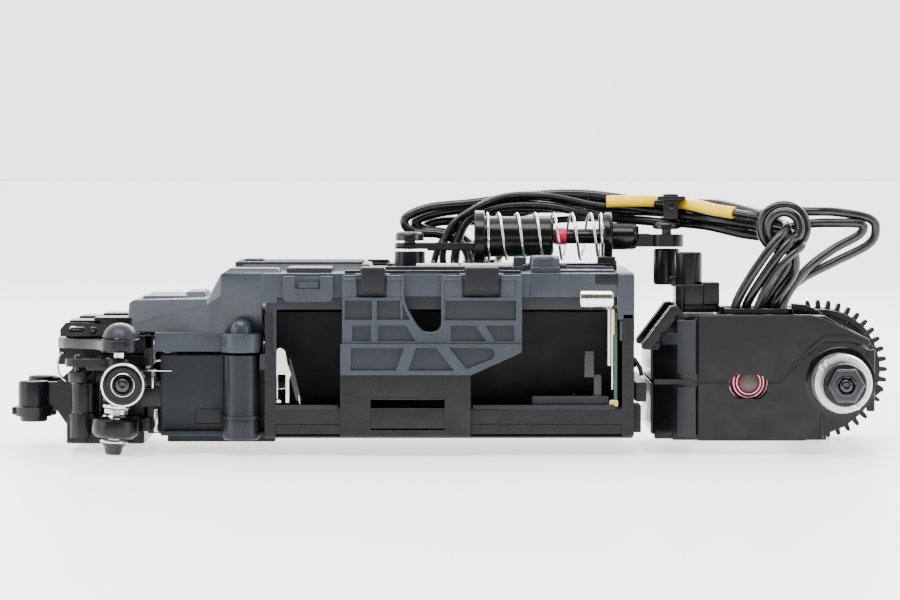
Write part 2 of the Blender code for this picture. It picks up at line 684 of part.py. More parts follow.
def make_rear_axle():
    ends = [(REAR_AXLE_X, side * 30.0, AXLE_Z) for side in (-1, 1)]
    part("rear_axle", "steel", cylinder(AXLE_RADIUS, *ends, segments=20))
    bore_radius = AXLE_RADIUS + 0.25
    gear = prism(gear_outline(SPUR_TEETH, (REAR_AXLE_X, AXLE_Z)), (GEAR_Y, GEAR_Y + 2.2))
    collar = cylinder(3.2, (REAR_AXLE_X, GEAR_Y + 1, AXLE_Z), (REAR_AXLE_X, 24.2, AXLE_Z))
    bore = cylinder(bore_radius, (REAR_AXLE_X, 18, AXLE_Z), (REAR_AXLE_X, 26, AXLE_Z), segments=20)
    cuts = [bore]
    for i in range(6):
        angle = i * math.pi / 3
        x, z = REAR_AXLE_X + 5.7 * math.cos(angle), AXLE_Z + 5.7 * math.sin(angle)
        cuts.append(cylinder(1.5, (x, 19, z), (x, 23, z), segments=12))
    part("spur_gear", "black_plastic", gear, add=[collar], cut=cuts,
         pivot=(REAR_AXLE_X, GEAR_Y, AXLE_Z))
    for word, side in SIDES.items():
        outward = (0, side, 0)
        if side < 0:
            start, profile = 18.6, [(4.0, 5.6), (4.0, 0), (1.6, 0), (1.6, 3.8), (3.1, 3.8), (3.1, 5.6)]
        else:
            start, profile = 17.4, [(4.0, 2.0), (4.0, 0), (1.6, 0), (1.6, 2.0)]
        carrier = turned(profile, (REAR_AXLE_X, side * start, AXLE_Z), outward, closed=True, steps=28)
        part(f"axle_holder_{word}", "steel", carrier)
        hub = ring(3.0, bore_radius, (REAR_AXLE_X, side * 24.55, AXLE_Z), outward, 3.5, steps=28)
        part(f"wheel_hub_{word}", "black_plastic", hub)
        drive = ring(2.6, bore_radius, (REAR_AXLE_X, side * 28.4, AXLE_Z), outward, 1.5, steps=6)
        part(f"wheel_hex_{word}", "steel", drive)


def make_pod_link():
    block = box((TUB_REAR + GAP, -16.4, LINK_Z - 1.4), (POD_FRONT - GAP, 16.4, LINK_Z + 1.4))
    part("pod_pivot_link", "grey_plastic", block, pivot=(LINK_X, 0, LINK_Z))


# ---------------------------------------------------------------- damper

def make_damper_mounts():
    front = (DAMPER_FRONT_X, 0)
    post = cylinder(2.15, (*front, COVER_TOP + GAP), (*front, DAMPER_Z - 2.1))
    foot = box((-9.6, -3, COVER_TOP + GAP), (-4.2, 3, 25.5))
    part("damper_front_post", "black_plastic", post, add=[foot])
    profile = [(0, 2.4), (1.7, 2.4), (2.0, 2.1), (2.0, 1.2), (0.8, 1.2), (0.8, 0), (0, 0)]
    part("damper_front_screw", "steel", turned(profile, (*front, DAMPER_Z - 1.8), (0, 0, 1)))

    rear = (DAMPER_REAR_X, 0)
    base = box((27.4, -10.6, POD_TOP + GAP), (36.2, 2.6, 20.6))
    add = [cylinder(1.85, (*rear, 20.0), (*rear, DAMPER_Z - 1.7)),
           box((30.2, -10.6, 20.2), (36.2, -5.4, 23.2)),
           cylinder(1.9, (32.1, -8, 23.0), (32.1, -8, 27.6))]
    part("damper_rear_post", "black_plastic", base, add=add)
    profile = [(0, 3.5), (1.7, 3.5), (2.0, 3.2), (2.0, 2.4), (0.7, 2.4), (0.7, 0), (0, 0)]
    part("damper_rear_screw", "steel", turned(profile, (*rear, DAMPER_Z - 1.4), (0, 0, 1)))
    low, roof, top = DAMPER_Z + 2.4, DAMPER_Z + 5.3, DAMPER_Z + 6.0
    hook = [(-1.3, low), (1.3, low), (1.3, roof), (5.4, roof), (5.4, low), (6.1, low), (6.1, top),
            (-1.3, top)]
    saddle = prism(hook, (DAMPER_REAR_X - 0.6, DAMPER_REAR_X + 1.5), "YZ")
    lip = box((DAMPER_REAR_X - 1.4, -1.6, top - 0.6), (DAMPER_REAR_X + 2.4, 1.6, top + 0.2))
    part("cable_clip", "black_plastic", saddle, add=[lip])


def make_damper():
    """Cylinder with its front arm, the rod with its eye, and the spring around both."""
    rear = (1, 0, 0)
    body_profile = [(1.4, 11.2), (2.5, 11.2), (2.9, 10.9), (2.9, 1.5), (3.7, 1.45), (3.7, 0),
                    (0, 0), (0, 3.0), (1.4, 3.0)]
    body = turned(body_profile, (2.2, 0, DAMPER_Z), rear, closed=True, steps=24)
    low, high = DAMPER_Z - 1.8, DAMPER_Z - 0.9
    arm = box((DAMPER_FRONT_X, -1.9, low), (2.6, 1.9, high))
    eye = cylinder(2.1, (DAMPER_FRONT_X, 0, low), (DAMPER_FRONT_X, 0, high))
    hole = cylinder(1.15, (DAMPER_FRONT_X, 0, low - 1), (DAMPER_FRONT_X, 0, high + 1), segments=16)
    part("damper_body", "black_plastic", body, add=[arm, eye], cut=[hole],
         pivot=(DAMPER_FRONT_X, 0, DAMPER_Z))
    rod_profile = [(0, 18.0), (1.7, 18.0), (1.9, 17.4), (1.9, 14.6), (3.5, 14.4), (3.5, 13.2),
                   (1.05, 13.1), (1.05, 0), (0, 0)]
    rod = turned(rod_profile, (7.3, 0, DAMPER_Z), rear, steps=24)
    low, high = DAMPER_Z - 1.1, DAMPER_Z + 0.3
    lug = box((24.5, -1.4, low), (DAMPER_REAR_X, 1.4, high))
    eye = cylinder(2.4, (DAMPER_REAR_X, 0, low), (DAMPER_REAR_X, 0, high), segments=20)
    hole = cylinder(1.45, (DAMPER_REAR_X, 0, low - 1), (DAMPER_REAR_X, 0, high + 1), segments=16)
    part("damper_rod", "black_plastic", rod, add=[lug, eye], cut=[hole])
    spring = coil(SPRING_RADIUS, SPRING_WIRE, (4.2, 0, DAMPER_Z), rear, 15.9, 8.5, per_turn=10)
    part("damper_spring", "steel", spring)


# ---------------------------------------------------------------- wires

RISE = [(41.0, -12.0, 17.6), (41.0, -12.0, 20.5), (42.2, -11.6, 23.4), (43.8, -11.0, 26.2)]
KNOT_CENTRE = (45.2, -10.6, 31.0)
REAR_RUN = [(45.0, -8.4, 20.8), (46.6, -7.8, 23.2), (50.0, -6.2, 25.7), (54.2, -5.2, 27.4),
            (56.4, -5.0, 29.4), (55.8, -5.3, 31.5), (53.0, -5.8, 32.5), (49.4, -5.9, 32.6),
            (45.0, -5.2, 32.2), (40.0, -2.4, 32.0), (35.0, 1.2, 32.5), (30.6, 3.5, 32.9)]
FRONT_RUN = [(30.2, 3.5, 32.9), (24.5, 4.2, 34.1), (17.0, 5.0, 35.3), (9.0, 5.8, 35.0),
             (2.0, 6.4, 34.1), (-4.6, 6.3, 33.1), (-7.3, 6.2, 31.7), (-5.6, 6.4, 30.2),
             (-1.6, 6.4, 29.3), (0.6, 5.2, 26.1), (0.2, 3.2, 23.0), (0.2, -0.6, 22.6),
             (0.2, -3.6, 22.6)]


def make_wires():
    """Plain stand-ins for the leads: they leave the pod, knot, loop and reach the plugs."""
    part("wires_pod_rise", "wire", tube(smooth_route(RISE, 3.0), 1.9))
    knot = turned([(1.4, 1.6), (2.2, 2.4), (3.3, 2.2), (3.9, 1.0), (3.9, -1.0), (3.3, -2.2), (2.2, -2.4),
                   (1.4, -1.6)], KNOT_CENTRE, (0.12, -1, 0.1), closed=True, steps=24)
    part("wire_knot", "wire", knot)
    part("wires_rear_run", "wire", tube(smooth_route(REAR_RUN, 2.6), 1.2))
    part("wires_front_run", "wire", tube(smooth_route(FRONT_RUN, 2.2), 1.0))


def hang_pod():
    """Parent every piece that the pod carries to one empty on its pivot."""
    pivot = bpy.data.objects.new("pod_pivot", None)
    PARTS.objects.link(pivot)
    pivot.location = scaled((LINK_X, 0, LINK_Z))
    bpy.context.view_layer.update()
    for name in POD_PIECES:
        piece = PARTS.objects[name]
        piece.parent = pivot
        piece.matrix_parent_inverse = pivot.matrix_world.inverted()


def build():
    make_main_frame()
    make_top_cover()
    make_battery_clips()
    make_clip_hinges()
    make_power_switch()
    make_battery_terminals()
    make_electronics()
    make_kingpins()
    make_springs_and_seats()
    make_knuckles()
    make_front_bearings()
    make_upper_plate()
    make_lower_arm_plate()
    make_front_bumper()
    make_steering()
    make_pod_cases()
    make_motor()
    make_rear_axle()
    make_pod_link()
    make_damper_mounts()
    make_damper()
    make_wires()
    hang_pod()


build()
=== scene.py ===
"""Looks of the small radio-control car chassis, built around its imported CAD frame.

+X points to the rear of the car, -Y to its left side and +Z up. Shapes are written in millimetres
and MM turns them into the frame's metres. A sided piece is built with +Y pointing outwards and is
then put on its own side.
"""

import math

import bmesh
import bpy
from mathutils import Matrix, Vector


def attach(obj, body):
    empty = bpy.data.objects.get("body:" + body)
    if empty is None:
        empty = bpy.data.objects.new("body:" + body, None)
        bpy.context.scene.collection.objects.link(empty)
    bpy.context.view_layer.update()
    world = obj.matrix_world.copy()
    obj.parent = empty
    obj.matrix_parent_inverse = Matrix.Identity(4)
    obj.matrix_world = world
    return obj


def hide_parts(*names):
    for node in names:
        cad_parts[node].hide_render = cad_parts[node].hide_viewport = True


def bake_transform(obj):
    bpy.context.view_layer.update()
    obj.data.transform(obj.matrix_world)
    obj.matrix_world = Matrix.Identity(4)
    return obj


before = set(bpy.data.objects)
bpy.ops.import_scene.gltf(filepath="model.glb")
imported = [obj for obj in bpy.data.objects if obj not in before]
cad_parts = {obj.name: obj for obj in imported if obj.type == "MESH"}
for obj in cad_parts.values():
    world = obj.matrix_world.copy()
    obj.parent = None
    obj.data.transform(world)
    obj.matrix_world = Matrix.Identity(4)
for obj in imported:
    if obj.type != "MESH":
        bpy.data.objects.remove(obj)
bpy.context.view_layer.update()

MM = 0.001
SIDES = {"left": -1, "right": 1}
SHARP = math.radians(28)        # edges sharper than this are rounded and split the shading
FINE = 0.08                     # edge rounding of small mouldings
EDGE = 0.16                     # edge rounding of large mouldings

# ---------------------------------------------------------------- camera

CAMERA_DISTANCE = 0.668
CAMERA_TILT = math.radians(1.8)
CAMERA_LENS, SENSOR_WIDTH = 188.96, 36.0
AIM_X, AIM_Z = -0.0012, 0.0206


def make_camera():
    """Long lens on the car's left side, almost level with the chassis."""
    data = bpy.data.cameras.new("camera")
    data.sensor_width = SENSOR_WIDTH
    data.lens = CAMERA_LENS
    data.clip_start, data.clip_end = 0.05, 20.0
    camera = bpy.data.objects.new("camera", data)
    camera.location = (AIM_X, -CAMERA_DISTANCE * math.cos(CAMERA_TILT),
                       AIM_Z + CAMERA_DISTANCE * math.sin(CAMERA_TILT))
    camera.rotation_euler = (math.pi / 2 - CAMERA_TILT, 0, 0)
    bpy.context.scene.collection.objects.link(camera)
    bpy.context.scene.camera = camera


make_camera()


# ---------------------------------------------------------------- materials

class Shader:
    """Node tree of one Principled material, with short calls for the nodes it needs."""

    def __init__(self, name):
        self.material = bpy.data.materials.new(name)
        self.material.use_nodes = True
        self.tree = self.material.node_tree
        self.surface = self.tree.nodes["Principled BSDF"]
        self.place = self.node("ShaderNodeTexCoord").outputs["Object"]

    def node(self, kind, **settings):
        """A new node with its settings."""
        made = self.tree.nodes.new(kind)
        for key, value in settings.items():
            setattr(made, key, value)
        return made

    def link(self, source, target):
        """Join an output to an input."""
        self.tree.links.new(source, target)

    def noise(self, scale, detail=2.0, stretch=None):
        """Noise fixed to the piece, stretched along an axis where one is given a smaller scale."""
        made = self.node("ShaderNodeTexNoise")
        made.inputs["Scale"].default_value = scale
        made.inputs["Detail"].default_value = detail
        source = self.place
        if stretch:
            mapping = self.node("ShaderNodeMapping")
            mapping.inputs["Scale"].default_value = stretch
            self.link(source, mapping.inputs["Vector"])
            source = mapping.outputs["Vector"]
        self.link(source, made.inputs["Vector"])
        return made.outputs["Fac"]

    def spread(self, value, low, high):
        """Map the middle of a noise to the range low to high."""
        made = self.node("ShaderNodeMapRange")
        made.inputs["From Min"].default_value = 0.3
        made.inputs["From Max"].default_value = 0.7
        made.inputs["To Min"].default_value = low
        made.inputs["To Max"].default_value = high
        self.link(value, made.inputs["Value"])
        return made.outputs["Result"]

    def blend(self, value, dark, light):
        """Colour ramp between two colours over the middle of a noise."""
        made = self.node("ShaderNodeValToRGB")
        made.color_ramp.elements[0].position = 0.32
        made.color_ramp.elements[1].position = 0.68
        made.color_ramp.elements[0].color = (*dark, 1)
        made.color_ramp.elements[1].color = (*light, 1)
        self.link(value, made.inputs["Fac"])
        return made.outputs["Color"]

    def bump(self, height, strength, depth):
        """Fine relief on the surface."""
        made = self.node("ShaderNodeBump")
        made.inputs["Strength"].default_value = strength
        made.inputs["Distance"].default_value = depth
        self.link(height, made.inputs["Height"])
        self.link(made.outputs["Normal"], self.surface.inputs["Normal"])


def shade(colour, factor):
    """A colour made darker or lighter."""
    return tuple(min(1.0, channel * factor) for channel in colour)


def plastic(name, colour, roughness, grain=2600.0, relief=0.10, clouds=0.14):
    """Moulded plastic: fine grain, and a slow drift of colour and gloss from the mould."""
    shader = Shader(name)
    shader.surface.inputs["Specular IOR Level"].default_value = 0.30
    drift = shader.noise(170.0, detail=3.0)
    shader.link(shader.blend(drift, shade(colour, 1 - clouds), shade(colour, 1 + clouds)),
                shader.surface.inputs["Base Color"])
    shader.link(shader.spread(shader.noise(420.0, detail=4.0), roughness - 0.06, roughness + 0.06),
                shader.surface.inputs["Roughness"])
    shader.bump(shader.noise(grain, detail=3.0), relief, 0.00003)
    return shader.material


def metal(name, colour, roughness, stretch=(1, 1, 1), relief=0.08):
    """Bare or plated metal with fine drawing marks along its least stretched axis."""
    shader = Shader(name)
    shader.surface.inputs["Metallic"].default_value = 1.0
    marks = shader.noise(2200.0, detail=4.0, stretch=stretch)
    shader.link(shader.blend(marks, shade(colour, 0.86), shade(colour, 1.08)),
                shader.surface.inputs["Base Color"])
    shader.link(shader.spread(marks, roughness - 0.06, roughness + 0.08),
                shader.surface.inputs["Roughness"])
    shader.bump(marks, relief, 0.00002)
    return shader.material


def circuit_board(name, colour):
    """Solder mask over a faint net of tracks."""
    shader = Shader(name)
    cells = shader.node("ShaderNodeTexVoronoi", feature="DISTANCE_TO_EDGE")
    cells.inputs["Scale"].default_value = 620.0
    shader.link(shader.place, cells.inputs["Vector"])
    shader.link(shader.blend(cells.outputs["Distance"], shade(colour, 1.6), colour),
                shader.surface.inputs["Base Color"])
    shader.surface.inputs["Roughness"].default_value = 0.34
    shader.bump(cells.outputs["Distance"], 0.3, 0.00004)
    return shader.material


def rubber(name, colour, roughness):
    """Soft insulation: slightly uneven skin with a dusty drift."""
    shader = Shader(name)
    drift = shader.noise(600.0, detail=5.0)
    shader.link(shader.blend(drift, shade(colour, 0.7), shade(colour, 1.5)),
                shader.surface.inputs["Base Color"])
    shader.link(shader.spread(drift, roughness - 0.08, roughness + 0.08),
                shader.surface.inputs["Roughness"])
    shader.bump(shader.noise(1500.0, detail=3.0), 0.12, 0.00004)
    return shader.material


GREY = plastic("grey_abs", (0.031, 0.037, 0.047), 0.28)
# The grey plastic darkened: painted shade in the recesses of the battery clips.
GREY_RECESS_SHADE = plastic("grey_abs_painted_recess_shade", (0.017, 0.021, 0.028), 0.30)
# Darker grey plastic for several parts; on the battery clips it is also painted shade on the band under
# the hinge hooks.
GREY_DARK = plastic("grey_abs_shaded", (0.014, 0.016, 0.020), 0.34)
FRAME = plastic("frame_nylon", (0.0040, 0.0046, 0.0062), 0.26)
FRAME_BLUE = plastic("frame_nylon_blue", (0.0085, 0.012, 0.016), 0.30)
# Near-black for the inside of the battery bays: painted shade, far darker than the frame plastic they
# belong to.
BAY_SHADE = plastic("bay_painted_shade", (0.0018, 0.0019, 0.0022), 0.55)
POD = plastic("pod_nylon", (0.0030, 0.0027, 0.0040), 0.20, relief=0.05)
BLACK = plastic("black_acetal", (0.0045, 0.0045, 0.005), 0.22, relief=0.05)
WHITE = plastic("plug_nylon", (0.86, 0.86, 0.82), 0.42, clouds=0.04)
RED = plastic("end_bell_red", (0.66, 0.015, 0.07), 0.24, relief=0.05)
YELLOW = plastic("sleeve_yellow", (1.0, 0.62, 0.01), 0.34, relief=0.12, clouds=0.06)
STEEL = metal("bright_steel", (0.72, 0.70, 0.66), 0.20, stretch=(1, 1, 0.2))
NICKEL = metal("nickel_plate", (0.84, 0.81, 0.74), 0.16, stretch=(1, 1, 0.15))
GUNMETAL = metal("black_oxide", (0.055, 0.055, 0.06), 0.28)
ALLOY = metal("bead_blasted_alloy", (0.80, 0.82, 0.83), 0.36, relief=0.25)
BUSH = plastic("bush_bronze", (0.10, 0.075, 0.07), 0.30)
BRASS = metal("brass_strip", (0.80, 0.56, 0.24), 0.26)
BOARD = circuit_board("solder_mask", (0.012, 0.055, 0.028))
LEAD = rubber("lead_insulation", (0.0065, 0.007, 0.0085), 0.26)


# ---------------------------------------------------------------- shapes

def at(point):
    """A point in millimetres as a vector in metres."""
    return Vector(point) * MM


def smooth_route(points, step=0.5):
    """Points about step millimetres apart on a Catmull-Rom curve through the given points."""
    knots = [Vector(p) for p in points]
    knots = [2 * knots[0] - knots[1], *knots, 2 * knots[-1] - knots[-2]]
    route = []
    for a, b, c, d in zip(knots, knots[1:], knots[2:], knots[3:]):
        count = max(1, round((c - b).length / step))
        for i in range(count):
            t = i / count
            route.append(0.5 * (2 * b + (c - a) * t + (2 * a - 5 * b + 4 * c - d) * t ** 2
                                + (3 * b - a - 3 * c + d) * t ** 3))
    route.append(knots[-2])
    return route


def arc(centre, radius, start, end, count):
    """Points on a circle in a plane, from angle start to end in degrees."""
    turns = [math.radians(start + (end - start) * i / count) for i in range(count + 1)]
    return [(centre[0] + radius * math.cos(a), centre[1] + radius * math.sin(a)) for a in turns]


PLANES = {
    "XY": Matrix(((1, 0, 0), (0, 1, 0), (0, 0, 1))),
    "XZ": Matrix(((1, 0, 0), (0, 0, 1), (0, 1, 0))),
    "YZ": Matrix(((0, 0, 1), (1, 0, 0), (0, 1, 0))),
}


class Form:
    """Closed shells gathered into one mesh. Each shell's own sharp edges are rounded."""

    def __init__(self):
        self.bm = bmesh.new()

    def take(self, shell, rounding, segments=2):
        """Round a shell's sharp edges and add it to the form."""
        bmesh.ops.recalc_face_normals(shell, faces=shell.faces)
        if rounding:
            edges = [e for e in shell.edges if e.is_manifold and e.calc_face_angle(0) > SHARP]
            bmesh.ops.bevel(shell, geom=edges, offset=rounding * MM, offset_type="OFFSET",
                            segments=segments, profile=0.5, affect="EDGES", clamp_overlap=True)
        mesh = bpy.data.meshes.new("shell")
        shell.to_mesh(mesh)
        shell.free()
        self.bm.from_mesh(mesh)
        bpy.data.meshes.remove(mesh)
        return self

    def block(self, low, high, rounding=EDGE, top=None):
        """Box between two corners; top is the XY rectangle of its upper face if it tapers."""
        near, far = top or (low[:2], high[:2])
        shell = bmesh.new()
        bmesh.ops.create_cube(shell, size=1.0)
        for vertex in shell.verts:
            a, b = (near, far) if vertex.co.z > 0 else (low, high)
            vertex.co = at((b[0] if vertex.co.x > 0 else a[0], b[1] if vertex.co.y > 0 else a[1],
                            high[2] if vertex.co.z > 0 else low[2]))
        return self.take(shell, rounding)

    def side_block(self, side, low, high, rounding=EDGE):
        """Box given for the +Y side of the car, put on the side asked for."""
        near, far = sorted((side * low[1], side * high[1]))
        return self.block((low[0], near, low[2]), (high[0], far, high[2]), rounding)

    def plate(self, outline, span, plane="XZ", holes=(), rounding=FINE):
        """Flat outline with holes in a plane, between two heights along the plane's normal."""
        curve = bpy.data.curves.new("outline", "CURVE")
        curve.dimensions = "2D"
        curve.fill_mode = "BOTH"
        curve.extrude = abs(span[1] - span[0]) / 2 * MM
        for ring in (outline, *holes):
            spline = curve.splines.new("POLY")
            spline.points.add(len(ring) - 1)
            for point, (u, v) in zip(spline.points, ring):
                point.co = (u * MM, v * MM, 0, 1)
            spline.use_cyclic_u = True
        holder = bpy.data.objects.new("outline", curve)
        mesh = bpy.data.meshes.new_from_object(holder)
        bpy.data.objects.remove(holder)
        bpy.data.curves.remove(curve)
        shell = bmesh.new()
        shell.from_mesh(mesh)
        bpy.data.meshes.remove(mesh)
        bmesh.ops.remove_doubles(shell, verts=shell.verts, dist=0.000002)
        bmesh.ops.dissolve_limit(shell, angle_limit=math.radians(1), verts=shell.verts,
                                 edges=shell.edges)
        middle = (span[0] + span[1]) / 2 * MM
        for vertex in shell.verts:
            vertex.co = PLANES[plane] @ (vertex.co + Vector((0, 0, middle)))
        return self.take(shell, rounding)

    def rings(self, sections, rounding=0.0):
        """Skin over rings of points, capped at both ends."""
        shell = bmesh.new()
        rows = [[shell.verts.new(at(p)) for p in section] for section in sections]
        count = len(rows[0])
        for a, b in zip(rows, rows[1:]):
            for i in range(count):
                j = (i + 1) % count
                shell.faces.new((a[i], a[j], b[j], b[i]))
        shell.faces.new(rows[0][::-1])
        shell.faces.new(rows[-1])
        return self.take(shell, rounding)

    def turned(self, profile, start, direction=(0, 0, 1), steps=32, rounding=0.0):
        """Solid of revolution from (radius, height) points; it closes on the axis."""
        turn = Vector((0, 0, 1)).rotation_difference(Vector(direction)).to_matrix()
        shell = bmesh.new()
        rows = []
        for radius, height in profile:
            if radius < 1e-6:
                rows.append([shell.verts.new(at(Vector(start) + turn @ Vector((0, 0, height))))])
                continue
            ring = [Vector((radius * math.cos(2 * math.pi * i / steps),
                            radius * math.sin(2 * math.pi * i / steps), height)) for i in range(steps)]
            rows.append([shell.verts.new(at(Vector(start) + turn @ p)) for p in ring])
        loop = profile[0][0] > 1e-6 or profile[-1][0] > 1e-6
        pairs = list(zip(rows, rows[1:])) + ([(rows[-1], rows[0])] if loop else [])
        for a, b in pairs:
            for i in range(steps):
                j = (i + 1) % steps
                if len(a) == 1:
                    shell.faces.new((a[0], b[j], b[i]))
                elif len(b) == 1:
                    shell.faces.new((a[i], a[j], b[0]))
                else:
                    shell.faces.new((a[i], a[j], b[j], b[i]))
        return self.take(shell, rounding)

    def rod(self, radius, start, end, steps=28, rounding=0.12):
        """Plain cylinder between two points."""
        line = Vector(end) - Vector(start)
        return self.turned([(0, 0), (radius, 0), (radius, line.length), (0, line.length)], start, line,
                           steps, rounding)

    def tube(self, points, radius, sides=12, squeeze=1.0):
        """Round bar along points, carried without twist."""
        points = [Vector(p) for p in points]
        aims = [(b - a).normalized() for a, b in zip(points, points[1:])]
        aims = [aims[0]] + [(a + b).normalized() for a, b in zip(aims, aims[1:])] + [aims[-1]]
        side = aims[0].orthogonal().normalized()
        sections = []
        for place, aim in zip(points, aims):
            side = (side - aim * side.dot(aim)).normalized()
            other = aim.cross(side)
            sections.append([place + side * radius * math.cos(2 * math.pi * i / sides)
                             + other * radius * squeeze * math.sin(2 * math.pi * i / sides)
                             for i in range(sides)])
        return self.rings(sections)

    def coil(self, radius, wire, start, direction, length, turns, per_turn=28, closed_ends=1.0):
        """Spring whose first and last turns lie flat against their seats."""
        turn = Vector((0, 0, 1)).rotation_difference(Vector(direction)).to_matrix()
        flat = closed_ends * wire * 2.1
        points = []
        for i in range(round(turns * per_turn) + 1):
            wound = i / per_turn
            angle = 2 * math.pi * wound
            inside = min(max((wound - closed_ends) / (turns - 2 * closed_ends), 0), 1)
            height = (min(wound, closed_ends) * wire * 2.1 + inside * (length - 2 * flat)
                      + max(wound - turns + closed_ends, 0) * wire * 2.1)
            local = Vector((radius * math.cos(angle), radius * math.sin(angle), height))
            points.append(Vector(start) + turn @ local)
        return self.tube(points, wire, sides=8)

    def onto(self, side):
        """Keep the form on the +Y side, or mirror it to the -Y side."""
        if side < 0:
            bmesh.ops.scale(self.bm, vec=(1, -1, 1), verts=self.bm.verts)
            bmesh.ops.reverse_faces(self.bm, faces=self.bm.faces)
        return self


def finished(piece, material):
    """Smooth shading with true flats, and the piece's material."""
    piece.data.shade_smooth()
    piece.data.set_sharp_from_angle(angle=math.radians(50))
    piece.data.materials.append(material)
    weighted = piece.modifiers.new("flats", "WEIGHTED_NORMAL")
    weighted.keep_sharp = True
    weighted.weight = 80


def loose(name, form, material, replaced=()):
    """A piece that isn't on a body yet."""
    mesh = bpy.data.meshes.new(name)
    form.bm.to_mesh(mesh)
    form.bm.free()
    piece = bpy.data.objects.new(name, mesh)
    bpy.context.scene.collection.objects.link(piece)
    finished(piece, material)
    if replaced:
        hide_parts(*replaced)
    return piece


def fixed(name, form, material, body, replaced=()):
    """A piece that rides one body."""
    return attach(loose(name, form, material, replaced), body)


# ---------------------------------------------------------------- leads

THICK, THIN = 1.3, 1.0
KNOT_CENTRE = Vector((45.2, -10.6, 31.0))
CLIP_X = 30.4                   # the leads pass the cable clip here, each at its own (Y, Z)
CLIP_PLACES = [(2.2, 34.0), (3.6, 34.1), (4.8, 33.8), (2.6, 32.7), (4.0, 32.7), (3.0, 31.4), (4.5, 31.4)]


def cord_piece(name, points, width, body=None):
    """One lead as a mesh tube; it rides a body when one is given, and otherwise stays where it is."""
    route = smooth_route(points)
    lead = loose(name, Form().tube(route, width / 2, sides=14), LEAD)
    if body:
        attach(lead, body)
    else:
        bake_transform(lead)
    return lead


def ring_points(radius, start, end, depth_start, depth_end, count):
    """Points on the knot's ring; angles in degrees from +X towards +Z, depth along -Y."""
    points = []
    for i in range(count + 1):
        share = i / count
        angle = math.radians(start + (end - start) * share)
        depth = depth_start + (depth_end - depth_start) * share
        points.append(KNOT_CENTRE + Vector((radius * math.cos(angle), -depth, radius * math.sin(angle))))
    return points


def clip_place(index):
    """Point where a lead passes the cable clip."""
    return (CLIP_X, *CLIP_PLACES[index])


def make_pod_leads():
    """Three leads through the knot, two wound round it, and two out to the rear loop."""
    through = [
        (THICK, [(37.9, -13.6, 18.6), (38.8, -14.0, 21.4), (41.0, -14.2, 25.2), (43.6, -14.0, 28.8),
                 (45.2, -13.0, 30.6), (45.6, -10.4, 31.2), (44.4, -7.8, 31.9), (40.6, -3.4, 32.7),
                 (35.4, 0.4, 33.6)], 0),
        (THICK, [(39.5, -12.4, 18.6), (40.2, -13.4, 21.0), (42.6, -14.1, 24.9), (44.9, -14.0, 28.1),
                 (46.3, -12.9, 29.7), (46.2, -10.4, 30.2), (44.6, -7.6, 30.4), (40.8, -3.2, 31.2),
                 (35.6, 1.0, 31.9)], 3),
        (THIN, [(41.0, -14.2, 18.6), (41.6, -14.4, 20.8), (43.3, -14.6, 24.2), (45.8, -14.5, 27.1),
                (47.6, -13.2, 28.5), (47.0, -10.2, 29.5), (44.4, -7.0, 29.4), (40.2, -3.0, 29.8),
                (35.2, 1.2, 30.9)], 5),
    ]
    for index, (width, points, place) in enumerate(through):
        cord_piece(f"lead_through_{index + 1}", [*points, clip_place(place)], width, body="pod")

    wound = [
        (3.15, -0.4, 42.2, 1, [(41.4, -6.6, 33.1), (36.4, -0.6, 34.2)]),
        (2.2, 0.9, 43.4, 4, [(41.6, -5.4, 31.8), (36.2, 0.6, 32.8)]),
    ]
    for index, (radius, depth, slot_x, place, exits) in enumerate(wound):
        up = [(slot_x, -10.4 - index, 18.6), (slot_x + 0.9, -11.2 - index, 21.2),
              (slot_x + 3.3, -11.6, 25.2)]
        turns = ring_points(radius, -60, 500, depth + 1.4, depth - 1.2, 24)
        cord_piece(f"lead_wound_{index + 1}", [*up, *turns, *exits, clip_place(place)], THICK,
                   body="pod")

    looped = [
        (THICK, [(44.3, -9.6, 18.8), (45.4, -8.6, 21.2), (48.0, -7.0, 23.8), (52.4, -5.6, 26.0),
                 (57.4, -5.0, 28.5), (58.5, -5.0, 30.5), (57.6, -5.3, 32.2), (53.0, -5.8, 33.1),
                 (49.4, -6.4, 33.2), (45.2, -5.6, 33.2), (40.2, -2.2, 32.4), (35.2, 2.2, 33.2)], 2),
        (THICK, [(44.5, -12.2, 18.8), (45.8, -10.2, 21.7), (48.6, -7.4, 25.1), (52.6, -5.9, 28.0),
                 (56.2, -5.8, 30.0), (56.4, -6.0, 31.4), (52.6, -6.3, 31.6), (49.2, -6.4, 31.5),
                 (45.0, -5.0, 30.8), (40.2, -1.8, 30.7), (35.2, 2.2, 31.4)], 6),
    ]
    for index, (width, points, place) in enumerate(looped):
        cord_piece(f"lead_looped_{index + 1}", [*points, clip_place(place)], width, body="pod")
    for lead, nodes in (("lead_through_1", ("wires_pod_rise",)), ("lead_wound_1", ("wire_knot",)),
                        ("lead_looped_1", ("wires_rear_run",))):
        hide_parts(*nodes)


